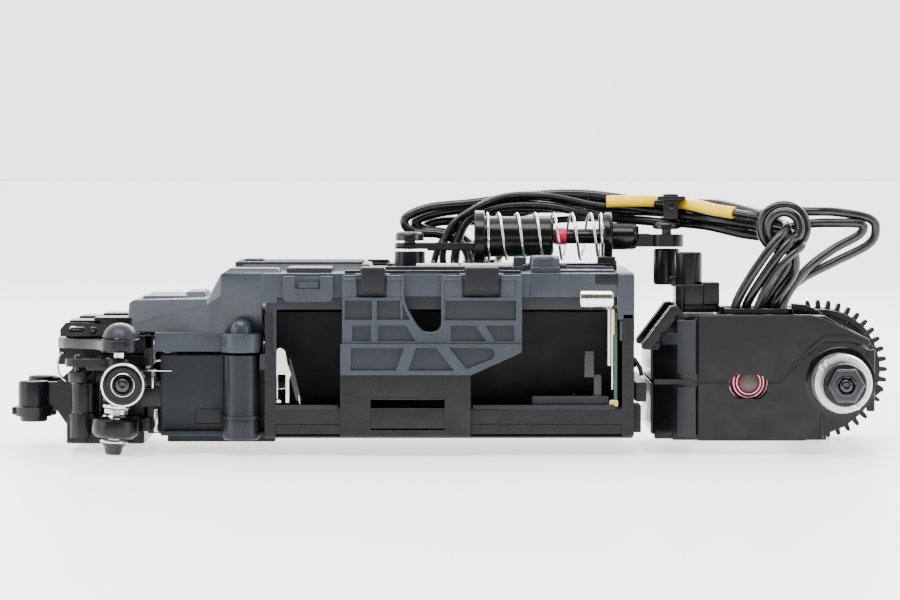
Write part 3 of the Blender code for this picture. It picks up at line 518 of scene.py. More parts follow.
def make_front_leads():
    """The same seven leads from the clip: past the damper, round the front loop, to the plugs."""
    runs = [
        (THICK, 0, [(24.4, 3.2, 34.8), (17.2, 4.4, 35.6), (9.6, 5.4, 35.3), (2.2, 6.0, 34.3),
                    (-4.2, 6.0, 33.6),
                    (-7.6, 5.8, 32.0), (-6.6, 6.0, 30.2), (-2.2, 6.2, 29.7), (1.0, 5.6, 27.7),
                    (1.6, 3.6, 24.0),
                    (1.2, -0.6, 23.0), (1.2, -3.7, 23.0)]),
        (THICK, 1, [(24.6, 4.6, 34.5), (18.0, 5.8, 35.2), (11.0, 6.8, 34.6), (3.6, 7.6, 33.6),
                    (-3.0, 7.6, 32.8),
                    (-6.2, 7.4, 31.5), (-4.6, 7.6, 30.4), (0.2, 7.4, 29.4), (2.8, 6.2, 26.4),
                    (2.8, 3.0, 23.5),
                    (2.6, -3.7, 22.9)]),
        (THICK, 2, [(24.6, 5.8, 33.8), (17.6, 7.0, 34.3), (10.4, 8.0, 33.2), (3.6, 8.6, 31.8),
                    (-2.4, 8.6, 31.6),
                    (-4.6, 8.6, 30.8), (-2.6, 8.8, 29.7), (2.2, 8.2, 28.1), (4.2, 6.4, 24.4),
                    (4.2, -3.7, 22.7)]),
        (THIN, 3, [(25.0, 3.6, 33.5), (19.4, 4.0, 34.1), (13.0, 4.6, 35.3), (6.6, 4.8, 35.2),
                   (1.6, 4.6, 33.1),
                   (-1.2, 4.2, 30.7), (-2.2, 4.0, 27.4), (-2.0, 3.0, 24.0), (-1.6, -3.7, 22.7)]),
        (THIN, 4, [(25.0, 5.0, 33.0), (19.0, 5.8, 33.2), (12.4, 6.6, 33.3), (6.0, 6.4, 33.1),
                   (1.0, 5.6, 31.6),
                   (-2.4, 4.8, 28.7), (-3.6, 4.0, 25.1), (-3.4, -3.7, 22.7)]),
        (THICK, 5, [(25.6, 4.0, 31.8), (20.0, 4.8, 32.4), (13.0, 5.2, 33.8), (6.6, 5.4, 33.8),
                    (1.8, 5.0, 32.2),
                    (0.0, 4.2, 29.1), (-0.6, 3.2, 25.0), (-0.2, -3.7, 22.8)]),
        (THIN, 6, [(25.4, 5.4, 32.0), (19.6, 6.8, 32.1), (12.8, 7.6, 31.6), (7.4, 7.8, 29.6),
                   (5.6, 7.0, 25.7),
                   (5.6, -3.7, 22.7)]),
    ]
    for index, (width, place, points) in enumerate(runs):
        lead = cord_piece(f"lead_front_{index + 1}", [clip_place(place), *points], width)
        if index == 0:
            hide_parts("wires_front_run")


def make_yellow_sleeve():
    """Heat-shrink sleeve on a lead's joint, flattened at its open end."""
    route = smooth_route([(21.0, 2.4, 34.5), (25.6, 2.6, 34.6), (30.4, 2.6, 34.4), (33.4, -1.6, 34.0),
                          (36.0, -4.2, 33.4), (38.6, -5.8, 33.0)])
    fixed("lead_sleeve", Form().tube(route, 0.92, sides=16, squeeze=0.8), YELLOW, "pod")
    core = smooth_route([(37.0, -4.9, 33.2), (40.6, -7.0, 32.7), (43.6, -8.6, 32.2)])
    fixed("lead_sleeve_core", Form().tube(core, 0.55, sides=14), LEAD, "pod")


make_pod_leads()
make_front_leads()
make_yellow_sleeve()


# ---------------------------------------------------------------- chassis tub

def make_tub():
    """Floor, sills, end walls, bay walls and the nose box with its screw bosses."""
    form = Form()
    form.block((-26.6, -22.6, 2.4), (23.9, 22.6, 3.25), 0.3)
    form.block((-26.5, -22.9, 2.9), (-25.5, 22.9, 19.45))
    form.block((22.45, -22.8, 2.6), (23.95, 22.8, 19.45), 0.25)
    for side in SIDES.values():
        sill = [(side * y, z) for y, z in ((21.8, 3.0), (21.8, 6.68), (22.55, 6.68), (22.98, 6.3),
                                           (22.98, 4.45), (22.6, 4.2), (22.6, 2.6), (21.8, 2.6))]
        form.plate(sill, (-26.55, 23.9), "YZ", rounding=0.06)
        form.side_block(side, (-26.55, 21.3, 2.7), (-25.0, 22.95, 13.9), 0.12)
        form.side_block(side, (22.3, 21.3, 2.7), (23.97, 22.95, 19.5), 0.2)
    fixed("tub", form, FRAME, "chassis", ["main_frame"])


def make_bay_walls():
    """Inner wall and floor of each battery bay, near-black as painted shade inside the bay."""
    for word, side in SIDES.items():
        form = Form()
        form.block((-25.45, 10.4, 3.1), (22.4, 11.6, 19.4))
        form.block((-25.45, 11.5, 3.15), (22.4, 21.9, 3.5), 0.1)
        form.block((-25.48, 11.4, 3.4), (-25.2, 21.9, 19.4), 0.05)
        fixed(f"bay_wall_{word}", form.onto(side), BAY_SHADE, "chassis")


def make_sill_strips():
    """Raised lip along each sill, and two pads on the bay floor."""
    for word, side in SIDES.items():
        form = Form()
        form.block((1.9, 21.9, 6.3), (21.3, 22.85, 6.95), FINE)
        form.block((-25.2, 21.9, 6.3), (-16.5, 22.85, 6.95), FINE)
        form.block((10.0, 20.0, 3.3), (20.6, 21.6, 8.1), 0.2)
        form.block((-22.6, 20.4, 3.3), (-17.2, 21.4, 5.4), 0.2)
        fixed(f"sill_strip_{word}", form.onto(side), GREY_DARK, "chassis")


def make_nose_box():
    """Box under the nose, its skid, and the corner bosses with their webs and panels."""
    form = Form()
    form.block((-41.2, -15.9, 2.45), (-26.2, 15.9, 13.75), 0.35)
    form.block((-43.2, -13.4, 2.5), (-40.0, 13.4, 9.2), 0.3)
    form.block((-40.5, -11.5, 1.25), (-25.5, 11.5, 2.7), 0.2)
    for side in SIDES.values():
        centre_y = side * 21.0
        form.turned([(0, 2.1), (2.2, 2.1), (2.55, 2.45), (2.6, 4.8), (2.45, 5.1), (2.45, 13.7),
                     (0, 13.7)],
                    (-29.8, centre_y, 0), steps=40)
        form.turned([(2.4, 4.85), (2.75, 4.95), (2.75, 5.4), (2.4, 5.5)], (-29.8, centre_y, 0), steps=40)
        form.side_block(side, (-30.6, 15.4, 2.6), (-28.8, 21.6, 13.4), 0.1)
        form.side_block(side, (-36.4, 15.5, 4.0), (-32.6, 16.25, 6.1), 0.12)
        form.side_block(side, (-32.9, 15.5, 2.6), (-32.5, 16.25, 13.6), 0.06)
        form.side_block(side, (-41.0, 15.0, 2.5), (-26.6, 19.0, 3.1), 0.12)
    fixed("nose_box", form, FRAME_BLUE, "chassis")


# ---------------------------------------------------------------- top cover

def mirrored_ring(x, half):
    """Ring of points across the car from (half width, height) points, bottom to top."""
    left = [(x, -y, z) for y, z in half]
    right = [(x, y, z) for y, z in reversed(half)]
    return left + right


def make_cover():
    """Snout with its bevelled shoulders, the sloping wall behind it, and the roof."""
    form = Form()
    form.rings([
        mirrored_ring(-45.9, [(12.6, 16.6), (12.5, 17.4), (10.6, 20.5)]),
        mirrored_ring(-45.2, [(13.4, 16.55), (13.2, 17.7), (11.0, 21.0)]),
        mirrored_ring(-34.6, [(19.0, 16.5), (18.3, 20.5), (16.4, 21.3)]),
        mirrored_ring(-32.6, [(19.2, 16.5), (20.2, 21.8), (20.0, 24.9)]),
        mirrored_ring(-26.9, [(19.3, 16.5), (21.9, 21.0), (21.8, 25.0)]),
    ], 0.18)
    for side in SIDES.values():
        flange = [(-41.8, 14.1), (-27.0, 14.1), (-27.0, 16.75), (-41.8, 16.75)]
        form.plate(flange, sorted((side * 14.0, side * 19.25)), rounding=0.14)
        form.turned([(0, 14.1), (2.75, 14.1), (2.85, 14.3), (2.85, 16.5), (2.65, 16.7), (0, 16.7)],
                    (-29.8, side * 21.0, 0), steps=40)
        form.side_block(side, (-31.4, 16, 14.15), (-27.0, 21, 16.6), 0.12)
    roof = [(-27.2, -21.8), (23.9, -21.8), (23.9, 21.8), (-27.2, 21.8)]
    opening = [(-9.8, -8.5), (18.5, -8.5), (18.5, 8.5), (-9.8, 8.5)]
    form.plate(roof, (24.35, 25.0), "XY", holes=[opening], rounding=0.1)
    fixed("cover", form, GREY, "chassis", ["top_cover"])


def make_cover_sides():
    """Roof wall over each bay with its catch lug, the dark bay frame, and the rear corner."""
    for word, side in SIDES.items():
        form = Form()
        wall = [(-27.0, 20.9), (-24.8, 20.9), (-24.8, 21.7), (21.6, 21.7), (21.6, 24.3), (21.0, 24.95),
                (-27.0, 24.95)]
        form.plate(wall, (21.6, 22.9), rounding=0.14)
        lug = [(-24.0, 24.6), (-24.0, 21.9), *arc((-23.2, 21.9), 0.8, 180, 270, 5),
               *arc((-17.9, 21.9), 0.8, 270, 360, 5), (-17.1, 24.6), (-18.9, 24.6), (-18.9, 22.9),
               (-22.3, 22.9), (-22.3, 24.6)]
        form.plate(lug, (22.6, 24.2), rounding=0.12)
        form.block((-22.4, 22.6, 21.2), (-18.8, 23.5, 24.5), FINE)
        form.block((-21.9, 23.2, 22.95), (-19.1, 23.9, 23.8), FINE)
        form.block((-8.2, 22.6, 21.8), (-1.6, 23.2, 24.8), 0.12)
        form.turned([(0, 16.55), (1.5, 16.6), (1.5, 17.3), (1.2, 18.2), (0.7, 18.6), (0, 18.7)],
                    (-29.8, 21.0, 0), steps=28)
        fixed(f"cover_side_{word}", form.onto(side), GREY, "chassis")
        bar = Form()
        bar.plate([(-26.4, 7.0), (-24.9, 7.0), (-24.9, 20.0), (21.4, 20.0), (21.4, 21.75),
                   (-26.4, 21.75)],
                  (21.4, 22.45))
        bar.block((-27.2, 22.0, 11.8), (-25.7, 22.9, 13.9), FINE)
        fixed(f"bay_frame_{word}", bar.onto(side), GREY_DARK, "chassis")
        end = Form()
        end.block((21.7, 21.5, 18.6), (24.0, 22.95, 24.9), 0.22)
        end.block((22.0, 21.2, 15.7), (24.0, 22.8, 18.5), 0.12)
        fixed(f"cover_end_{word}", end.onto(side), GREY, "chassis")


def make_cover_top():
    """Ribs, raised panels, the round rest and the small blocks on the roof and snout."""
    form = Form()
    form.block((-32.4, -20.4, 24.8), (-24.4, -14.0, 25.6), 0.2, top=((-31.4, -19.8), (-24.8, -14.6)))
    form.block((-32.4, 14.0, 24.8), (-24.4, 20.4, 25.6), 0.2, top=((-31.4, 14.6), (-24.8, 19.8)))
    form.block((-23.6, -21.0, 24.8), (-17.4, 21.0, 25.7), 0.2)
    form.block((-31.0, -9.0, 24.8), (-12.0, 9.0, 25.9), 0.25, top=((-30.0, -8.2), (-12.4, 8.2)))
    form.block((-44.4, -9.6, 20.8), (-37.4, 9.6, 21.5), 0.15, top=((-43.8, -9.0), (-37.8, 9.0)))
    form.block((-38.6, -7.0, 20.9), (-35.2, 7.0, 22.0), 0.15, top=((-38.0, -6.4), (-35.6, 6.4)))
    for y in (-7.6, -3.8, 0.0, 3.8, 7.6):
        form.block((-31.2, y - 0.35, 25.6), (-13.4, y + 0.35, 26.2), 0.1)
    for side in SIDES.values():
        form.side_block(side, (-10.2, 9.0, 24.8), (21.6, 9.9, 25.6), 0.12)
        form.side_block(side, (10.0, 13.6, 24.8), (21.4, 20.2, 25.35), 0.14)
    form.block((7.6, -10.6, 24.7), (9.4, -8.6, 26.9), 0.15)
    form.block((7.4, -10.8, 24.7), (9.6, -8.4, 25.6), 0.12)
    post = [(0, 24.8), (2.25, 24.8), (2.1, 26.8), (1.85, 27.15), (1.2, 27.2), (0, 27.2)]
    form.turned(post, (11.9, -12, 0), steps=12, rounding=0.06)
    form.turned([(0, 24.8), (2.9, 24.8), (2.6, 25.15), (0, 25.15)], (11.9, -12, 0), steps=24)
    for x, y in ((9.3, -12), (14.5, -12), (11.9, -14.6), (11.9, -9.4)):
        form.block((x - 0.5, y - 0.5, 24.8), (x + 0.5, y + 0.5, 25.9), 0.1)
    form.block((9.9, -21.8, 24.7), (13.9, -12.0, 25.8), 0.2)
    form.block((9.6, -23.0, 21.9), (14.2, -21.4, 25.0), 0.15, top=((9.9, -22.9), (13.9, -21.4)))
    form.turned([(0, 24.6), (2.0, 24.6), (1.95, 26.9), (1.7, 27.2), (0, 27.25)], (11.9, -19.6, 0),
                steps=12,
                rounding=0.06)
    form.block((19.6, -5.6, 24.8), (22.2, -3.9, 26.3), 0.15)
    form.block((12.6, -9.4, 25.0), (20.4, -8.6, 25.7), 0.1)
    fixed("cover_top", form, GREY, "chassis")
    dark = Form()
    dark.block((14.6, -8.4, 25.2), (21.4, -5.8, 26.0), 0.12)
    dark.block((19.4, -8.2, 25.6), (21.9, -5.6, 26.9), 0.15)
    dark.block((-30.2, -3.2, 25.8), (-27.4, 3.2, 26.5), 0.15)
    dark.block((18.6, 22.2, 23.4), (21.6, 22.95, 24.9), 0.1)
    dark.block((18.6, -22.95, 23.4), (21.6, -22.2, 24.9), 0.1)
    fixed("roof_fittings", dark, FRAME, "chassis")


def make_clip(word, side):
    """One battery clip: hinge loops above, sunk panels between ribs, and the lower latch plate."""
    form = Form()
    notch = [(-2.2, 17.7), *arc((-3.2, 17.9), 1.0, 360, 270, 4), (-4.9, 16.9),
             *arc((-4.7, 18.0), 1.1, 270, 215, 3)]
    outer = [(-16.2, 2.65), (1.65, 2.65), (1.65, 11.1), (8.65, 14.3), (8.65, 24.6), (5.7, 24.6),
             (5.7, 21.45), (0.5, 21.45), (0.5, 24.6), (-2.2, 24.6),
             *notch, (-7.6, 21.4), (-7.6, 24.6), (-9.9, 24.6), (-9.9, 21.45), (-13.9, 21.45),
             (-13.9, 24.6),
             (-15.9, 24.6), (-15.9, 15.5), (-16.2, 15.3)]
    window = [(-12.0, 3.6), (-1.95, 3.6), (-1.95, 8.1), (-12.0, 8.1)]
    form.plate(outer, (23.3, 24.0), holes=[window], rounding=0.06)
    lower = [(-16.15, 2.7), (1.6, 2.7), (1.6, 11.3), (-16.15, 11.3)]
    form.plate(lower, (23.4, 24.6), holes=[window], rounding=0.18)
    form.block((-12.3, 23.35, 3.7), (-1.7, 24.25, 6.6), 0.2)
    form.block((-12.3, 23.35, 7.7), (-1.7, 24.1, 8.3), 0.1)
    # The clip is one moulding; its lower part gets the near-black frame plastic as painted shade on its
    # downward-leaning face.
    fixed(f"battery_clip_lower_{word}", form.onto(side), FRAME, f"battery_clip_{word}",
          [f"battery_clip_{word}"])

    form = Form()
    ledge = [(-16.15, 11.15), (1.7, 11.15), (8.6, 14.25), (8.6, 15.4), (-16.15, 15.4)]
    panels = [
        [(-14.7, 11.8), (-8.6, 11.8), (-7.5, 14.9), (-14.7, 14.9)],
        [(-6.9, 11.8), (-0.7, 11.8), (-3.1, 14.9), (-5.8, 14.9)],
        [(1.1, 12.0), (4.1, 13.2), *arc((4.0, 14.1), 0.9, 300, 400, 4), (4.1, 14.9), (-1.3, 14.9)],
    ]
    form.plate(ledge, (23.6, 25.35), holes=panels, rounding=0.14)
    middle = [(-15.9, 15.2), (8.6, 15.2), (8.6, 18.6), (-2.2, 18.6), *notch, (-6.1, 18.7), (-15.9, 18.7)]
    sunk = [
        [(-14.5, 15.8), (-12.0, 15.8), (-12.0, 17.9), (-14.5, 17.9)],
        [(-11.0, 15.8), (-5.9, 15.8), (-7.2, 17.9), (-11.0, 17.9)],
        [(-1.1, 15.8), (3.7, 15.8), (2.3, 17.9), (-1.1, 17.9)],
        [(4.9, 15.8), (7.5, 15.8), (7.5, 17.9), (3.7, 17.9)],
    ]
    form.plate(middle, (23.5, 24.75), holes=sunk, rounding=0.12)
    for low, high, bar_low, bar_high, inset, top_inset in ((-15.9, -7.6, -13.9, -9.9, 0.35, 0.45),
                                                           (-2.2, 8.65, 0.5, 5.7, 0.9, 0.9)):
        loop = [(low, 18.0), (high, 18.0), (high, 24.6), (bar_high, 24.6), (bar_high, 21.7),
                (bar_low, 21.7),
                (bar_low, 24.6), (low, 24.6)]
        hole = [(low + 0.4, 18.6), (high - inset, 18.6), (high - top_inset, 21.35), (low + 0.4, 21.35)]
        form.plate(loop, (23.45, 24.6), holes=[hole], rounding=0.12)
        form.block((low + 0.1, 23.5, 24.1), (bar_low - 0.05, 24.75, 24.75), 0.1)
        form.block((bar_high + 0.05, 23.5, 24.1), (high - 0.1, 24.75, 24.75), 0.1)
        form.block((low + 0.3, 23.5, 21.3), (high - 0.3, 24.8, 21.75), 0.1)
    form.tube(smooth_route([(-7.6, 24.6, 24.9), (-7.6, 24.6, 21.5), (-6.4, 24.6, 18.7),
                            (-5.2, 24.6, 17.2),
                            (-4.4, 24.6, 16.85), (-3.2, 24.6, 16.9), (-2.4, 24.6, 17.6),
                            (-2.2, 24.6, 18.6),
                            (-2.2, 24.6, 24.9)], 0.4), 0.24, sides=10)
    form.rod(0.42, (-11.5, 24.5, 15.3), (-11.5, 24.5, 21.5), steps=16)
    form.rod(0.5, (-14.2, 23.6, 24.5), (-9.4, 23.6, 24.5), steps=16)
    form.rod(0.5, (0.1, 23.6, 24.5), (6.1, 23.6, 24.5), steps=16)
    form.block((7.75, 23.5, 15.3), (8.6, 24.85, 24.3), 0.14)
    fixed(f"battery_clip_face_{word}", form.onto(side), GREY, f"battery_clip_{word}")

    # Backing seen through the holes of the clip's ledge and middle plates, in darker grey: painted shade
    # in the sunk panels.
    form = Form()
    form.plate(ledge, (23.6, 24.65))
    form.plate(middle, (23.5, 24.15))
    fixed(f"battery_clip_sunk_{word}", form.onto(side), GREY_RECESS_SHADE, f"battery_clip_{word}")
    # Dark band behind the windows of the hinge loops: painted shade on the undercut under the hooks, in
    # the darker grey.
    form = Form()
    form.plate([(-15.6, 18.55), (-6.7, 18.55), (-7.6, 21.4), (-15.6, 21.4)], (23.4, 24.2), rounding=0.05)
    form.block((-1.9, 23.4, 18.55), (7.75, 24.2, 21.4), 0.05)
    fixed(f"battery_clip_shade_band_{word}", form.onto(side), GREY_DARK, f"battery_clip_{word}")


def make_clips():
    """Both battery clips, and the hooks on the roof that they turn in."""
    for word, side in SIDES.items():
        make_clip(word, side)
        form = Form()
        form.block((-15.6, 21.2, 24.95), (8.5, 22.6, 25.35), 0.1)
        for low, high in ((-13.3, -10.1), (0.9, 5.4)):
            form.block((low, 21.8, 24.9), (high, 25.35, 25.85), 0.18)
            form.block((low, 24.85, 22.7), (high, 25.45, 25.7), 0.14)
            form.block((low - 0.2, 24.85, 25.2), (high + 0.2, 25.4, 25.6), 0.08)
        fixed(f"hinge_hooks_{word}", form.onto(side), FRAME, "chassis",
              [f"clip_hinge_{word}"])


# ---------------------------------------------------------------- electrics

def make_contacts():
    """Sprung contacts at the front of each bay; flat contacts and the terminal card at the rear."""
    for word, side in SIDES.items():
        form = Form()
        form.plate([(12.2, 14.4), (12.2, 6.6), (13.6, 4.0), (20.6, 4.0), (21.4, 6.4), (21.4, 12.9),
                    *arc((20.2, 12.9), 1.2, 0, 90, 5), (14.4, 14.4)], (-25.1, -24.75), "YZ", rounding=0.1)
        form.turned([(0, 1.1), (0.9, 1.1), (1.5, 0.3), (1.7, 0.0), (0, 0)], (-24.75, 16.5, 9.0),
                    (1, 0, 0),
                    steps=28)
        form.plate([(-25.3, 10.7), (-25.2, 13.9), *arc((-24.4, 14.0), 0.75, 180, 20, 6), (-23.4, 12.6),
                    (-22.9, 11.2), (-23.2, 10.4), (-23.8, 11.1), (-24.7, 11.1), (-25.0, 10.2)],
                   (20.6, 22.3), rounding=0.1)
        form.plate([(-25.3, 7.2), (-25.3, 11.0), (-24.9, 11.0), (-24.9, 7.6), (-24.3, 7.6), (-24.3, 7.2)],
                   (20.8, 22.2), rounding=0.06)
        form.plate([(-23.7, 7.2), (-23.7, 10.9), (-23.2, 10.9), (-23.2, 7.2)], (20.8, 22.2),
                   rounding=0.06)
        form.tube(smooth_route([(-21.9, 21.2, 8.2), (-21.8, 21.2, 7.2), (-21.6, 21.2, 6.3)]), 0.12,
                  sides=8)
        fixed(f"spring_contact_{word}", form.onto(side), NICKEL, "chassis",
              [f"front_contact_{word}"])
        # Dark wedge inside the spring contact's fold: painted shade, in black oxide.
        form = Form()
        form.plate([(-23.3, 13.6), (-22.9, 12.9), (-21.5, 7.4), (-22.3, 7.4), (-23.1, 10.6)],
                   (20.4, 21.0),
                   rounding=0.06)
        fixed(f"contact_fold_shade_{word}", form.onto(side), GUNMETAL, "chassis")
        form = Form()
        form.plate([(12.8, 12.2), (20.9, 12.2), (20.9, 22.4), (20.3, 22.9), (13.4, 22.9), (12.8, 22.4)],
                   (20.4, 20.8), "YZ", rounding=0.1)
        form.rings([[(x, y, z) for y, z in ((20.2, 20.4), (21.2, 20.6), (21.6, 21.6), (21.2, 23.2),
                                            (20.0, 23.4), (19.8, 22.0))] for x in (14.9, 17.6, 20.6)],
                   0.15)
        form.turned([(0, 0), (1.45, 0), (1.6, 0.2), (1.6, 4.2), (1.45, 4.5), (0, 4.6)],
                    (16.6, 21.7, 21.5), (1, 0, 0),
                    steps=28)
        form.block((20.9, 20.6, 9.0), (21.15, 21.3, 23.2), 0.05)
        fixed(f"flat_contact_{word}", form.onto(side), NICKEL, "chassis",
              [f"rear_contact_{word}"])
        form = Form()
        form.block((21.25, 12.1, 3.5), (21.75, 21.6, 19.3), 0.1)
        fixed(f"terminal_card_{word}", form.onto(side), BOARD, "chassis",
              [f"terminal_board_{word}"])
        form = Form()
        form.block((21.05, 21.2, 16.6), (21.35, 22.0, 23.4), 0.08)
        form.block((20.6, 20.8, 3.9), (21.9, 21.9, 7.6), 0.15)
        fixed(f"terminal_strip_{word}", form.onto(side), BRASS, "chassis")
        form = Form()
        form.block((17.2, 19.6, 10.6), (18.6, 20.9, 14.2), 0.15)
        form.block((18.5, 19.9, 7.6), (19.6, 20.8, 11.0), 0.12)
        form.tube(smooth_route([(15.4, 20.8, 4.4), (17.4, 20.8, 6.8), (18.6, 20.8, 8.4)]), 0.18, sides=8)
        form.tube(smooth_route([(15.0, 20.6, 6.4), (15.3, 20.6, 7.6), (15.9, 20.6, 8.4)]), 0.15, sides=8)
        form.block((18.2, 20.2, 3.6), (19.4, 21.0, 5.4), 0.1)
        fixed(f"terminal_parts_{word}", form.onto(side), GUNMETAL, "chassis")


def make_board():
    """Receiver board with its chips, and the two white plugs with their tails."""
    form = Form()
    form.block((-24.4, -9.8, 19.9), (20.8, 9.8, 20.9), 0.1)
    fixed("receiver_card", form, BOARD, "chassis", ["receiver_board"])
    form = Form()
    form.block((-12.0, 1.0, 20.8), (-6.0, 7.0, 21.7), 0.12)
    form.block((8.0, 1.5, 20.8), (13.5, 7.5, 21.7), 0.12)
    form.block((14.6, -7.4, 20.8), (17.4, -4.4, 22.0), 0.12)
    for step in range(5):
        form.block((9.4 + step * 1.6, -3.4, 20.8), (10.3 + step * 1.6, -2.2, 21.4), 0.06)
    fixed("board_chips", form, BLACK, "chassis")
    for name, low, high in (("connector_front", -5.9, 0.0), ("connector_rear", 0.3, 7.6)):
        form = Form()
        form.block((low, -8.2, 21.3), (high, -4.4, 25.9), 0.14)
        form.block((low + 0.4, -8.45, 21.4), (high - 0.4, -8.0, 23.6), 0.08)
        form.block((low + 0.5, -4.6, 21.6), (high - 0.5, -4.2, 24.9), 0.08)
        fixed(f"{name}_shell", form, WHITE, "chassis", [name])
    form = Form()
    for x in (-5.2, -3.4, -1.6, 1.2, 2.8, 4.4, 5.6):
        form.tube(smooth_route([(x, -4.5, 23.9), (x, -3.4, 23.6), (x, -2.4, 22.2)]), 0.3, sides=10)
    fixed("connector_tails", form, LEAD, "chassis")


def make_servo_motor():
    """Small motor lying in the nose behind the servo case."""
    form = Form()
    profile = [(0, 0), (4.2, 0), (4.6, 0.4), (4.6, 10.6), (4.3, 11.0), (1.5, 11.1), (1.4, 12.0),
               (0, 12.0)]
    form.turned(profile, (-40.2, 0, 9.2), (1, 0, 0), steps=36)
    fixed("servo_can", form, STEEL, "chassis", ["servo_motor"])


# ---------------------------------------------------------------- front end

KINGPIN_Y = 21.0
KINGPIN_LOW, KINGPIN_HIGH = (-47.4, 0.07), (-46.15, 18.1)
FRONT_AXLE_X, AXLE_Z = -45.6, 9.9


def kingpin_at(distance):
    """Point on the +Y kingpin's axis, a distance up from its tip."""
    low = Vector((KINGPIN_LOW[0], KINGPIN_Y, KINGPIN_LOW[1]))
    high = Vector((KINGPIN_HIGH[0], KINGPIN_Y, KINGPIN_HIGH[1]))
    return low + (high - low).normalized() * distance


KINGPIN_AXIS = kingpin_at(1) - kingpin_at(0)


def make_kingpins():
    """Kingpins with their collars, foot nuts and caps, and the springs under the knuckles."""
    for word, side in SIDES.items():
        form = Form()
        form.turned([(0, 1.5), (0.8, 1.5), (0.8, 16.3), (0, 16.3)], kingpin_at(0), KINGPIN_AXIS, steps=24)
        form.turned([(0.75, 5.0), (1.75, 5.05), (1.9, 5.2), (1.75, 5.4), (0.75, 5.45)], kingpin_at(0),
                    KINGPIN_AXIS, steps=36)
        form.turned([(0.75, 1.6), (1.9, 1.62), (2.0, 1.8), (1.9, 2.05), (0.75, 2.1)], kingpin_at(0),
                    KINGPIN_AXIS, steps=36)
        fixed(f"kingpin_shaft_{word}", form.onto(side), NICKEL, "chassis", [f"kingpin_{word}"])
        form = Form()
        form.turned([(0, 0), (0.95, 0), (1.15, 0.2), (1.3, 1.0), (1.8, 1.6), (0, 1.62)], kingpin_at(0),
                    KINGPIN_AXIS, steps=14)
        fixed(f"kingpin_foot_{word}", form.onto(side), GUNMETAL, "chassis")
        form = Form()
        form.turned([(0, 18.12), (0.9, 18.0), (1.6, 17.65), (2.15, 17.05), (2.45, 16.4), (2.6, 16.0),
                     (0, 16.0)],
                    kingpin_at(0), KINGPIN_AXIS, steps=40)
        fixed(f"kingpin_head_{word}", form.onto(side), GREY_DARK, "chassis")
        form = Form()
        form.coil(1.5, 0.16, kingpin_at(5.62), KINGPIN_AXIS, 0.72, 3.0, closed_ends=0.6)
        spring = loose(f"kingpin_coil_{word}", form.onto(side), NICKEL,
                       [f"kingpin_spring_{word}"])
        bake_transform(spring)
        form = Form()
        form.turned([(1.15, 6.45), (1.85, 6.45), (1.9, 6.6), (1.85, 6.8), (1.15, 6.8)], kingpin_at(0),
                    KINGPIN_AXIS, steps=36)
        fixed(f"spring_washer_{word}", form.onto(side), NICKEL, f"suspension_{word}",
              [f"spring_seat_{word}"])


def make_knuckles():
    """Steering knuckles with their arms and stub axles, and the wheel bearings on them."""
    for word, side in SIDES.items():
        form = Form()
        form.turned([(1.15, 7.35), (1.9, 7.35), (1.95, 7.6), (1.95, 12.9), (1.7, 13.3), (1.15, 13.3)],
                    kingpin_at(0), KINGPIN_AXIS, steps=36)
        form.turned([(0, 0), (2.8, 0), (2.8, 2.9), (2.55, 3.2), (1.3, 3.25), (0, 3.25)],
                    (FRONT_AXLE_X, 21.35, AXLE_Z), (0, 1, 0), steps=40)
        arm = [(-52.2, 19.4), (-50.6, 19.6), (-47.0, 19.9), (-46.6, 22.1), (-50.4, 22.4),
               *arc((-52.2, 21.0), 1.7, 80, 270, 10)]
        form.plate(arm, (12.15, 13.2), "XY", holes=[arc((-52.2, 21.0), 0.95, 0, 345, 23)], rounding=0.12)
        form.block((-51.0, 19.9, 11.6), (-46.6, 22.1, 13.0), 0.2)
        fixed(f"knuckle_body_{word}", form.onto(side), FRAME, f"knuckle_{word}",
              [f"knuckle_{word}"])
        form = Form()
        form.turned([(0, 0), (0.98, 0), (0.98, 3.75), (0.8, 3.95), (0.42, 3.98), (0.36, 3.6), (0, 3.55)],
                    (FRONT_AXLE_X, 24.35, AXLE_Z), (0, 1, 0), steps=28)
        fixed(f"stub_axle_{word}", form.onto(side), GUNMETAL, f"knuckle_{word}")
        form = Form()
        form.turned([(2.62, 0), (3.0, 0.1), (3.0, 2.75), (2.93, 2.85), (2.72, 2.85), (2.62, 2.6)],
                    (FRONT_AXLE_X, 24.95, AXLE_Z), (0, 1, 0), steps=48)
        form.turned([(1.45, 0.2), (1.62, 0.2), (1.62, 2.6), (1.55, 2.64), (1.45, 2.6)],
                    (FRONT_AXLE_X, 24.95, AXLE_Z), (0, 1, 0), steps=40)
        fixed(f"hub_race_{word}", form.onto(side), NICKEL, f"front_hub_{word}",
              [f"front_bearing_{word}"])
        form = Form()
        form.turned([(1.25, 0.4), (2.68, 0.4), (2.68, 2.5), (2.35, 2.55), (2.3, 2.4), (1.7, 2.4),
                     (1.65, 2.6),
                     (1.25, 2.65)],
                    (FRONT_AXLE_X, 24.95, AXLE_Z), (0, 1, 0), steps=48)
        fixed(f"hub_shield_{word}", form.onto(side), BLACK, f"front_hub_{word}")


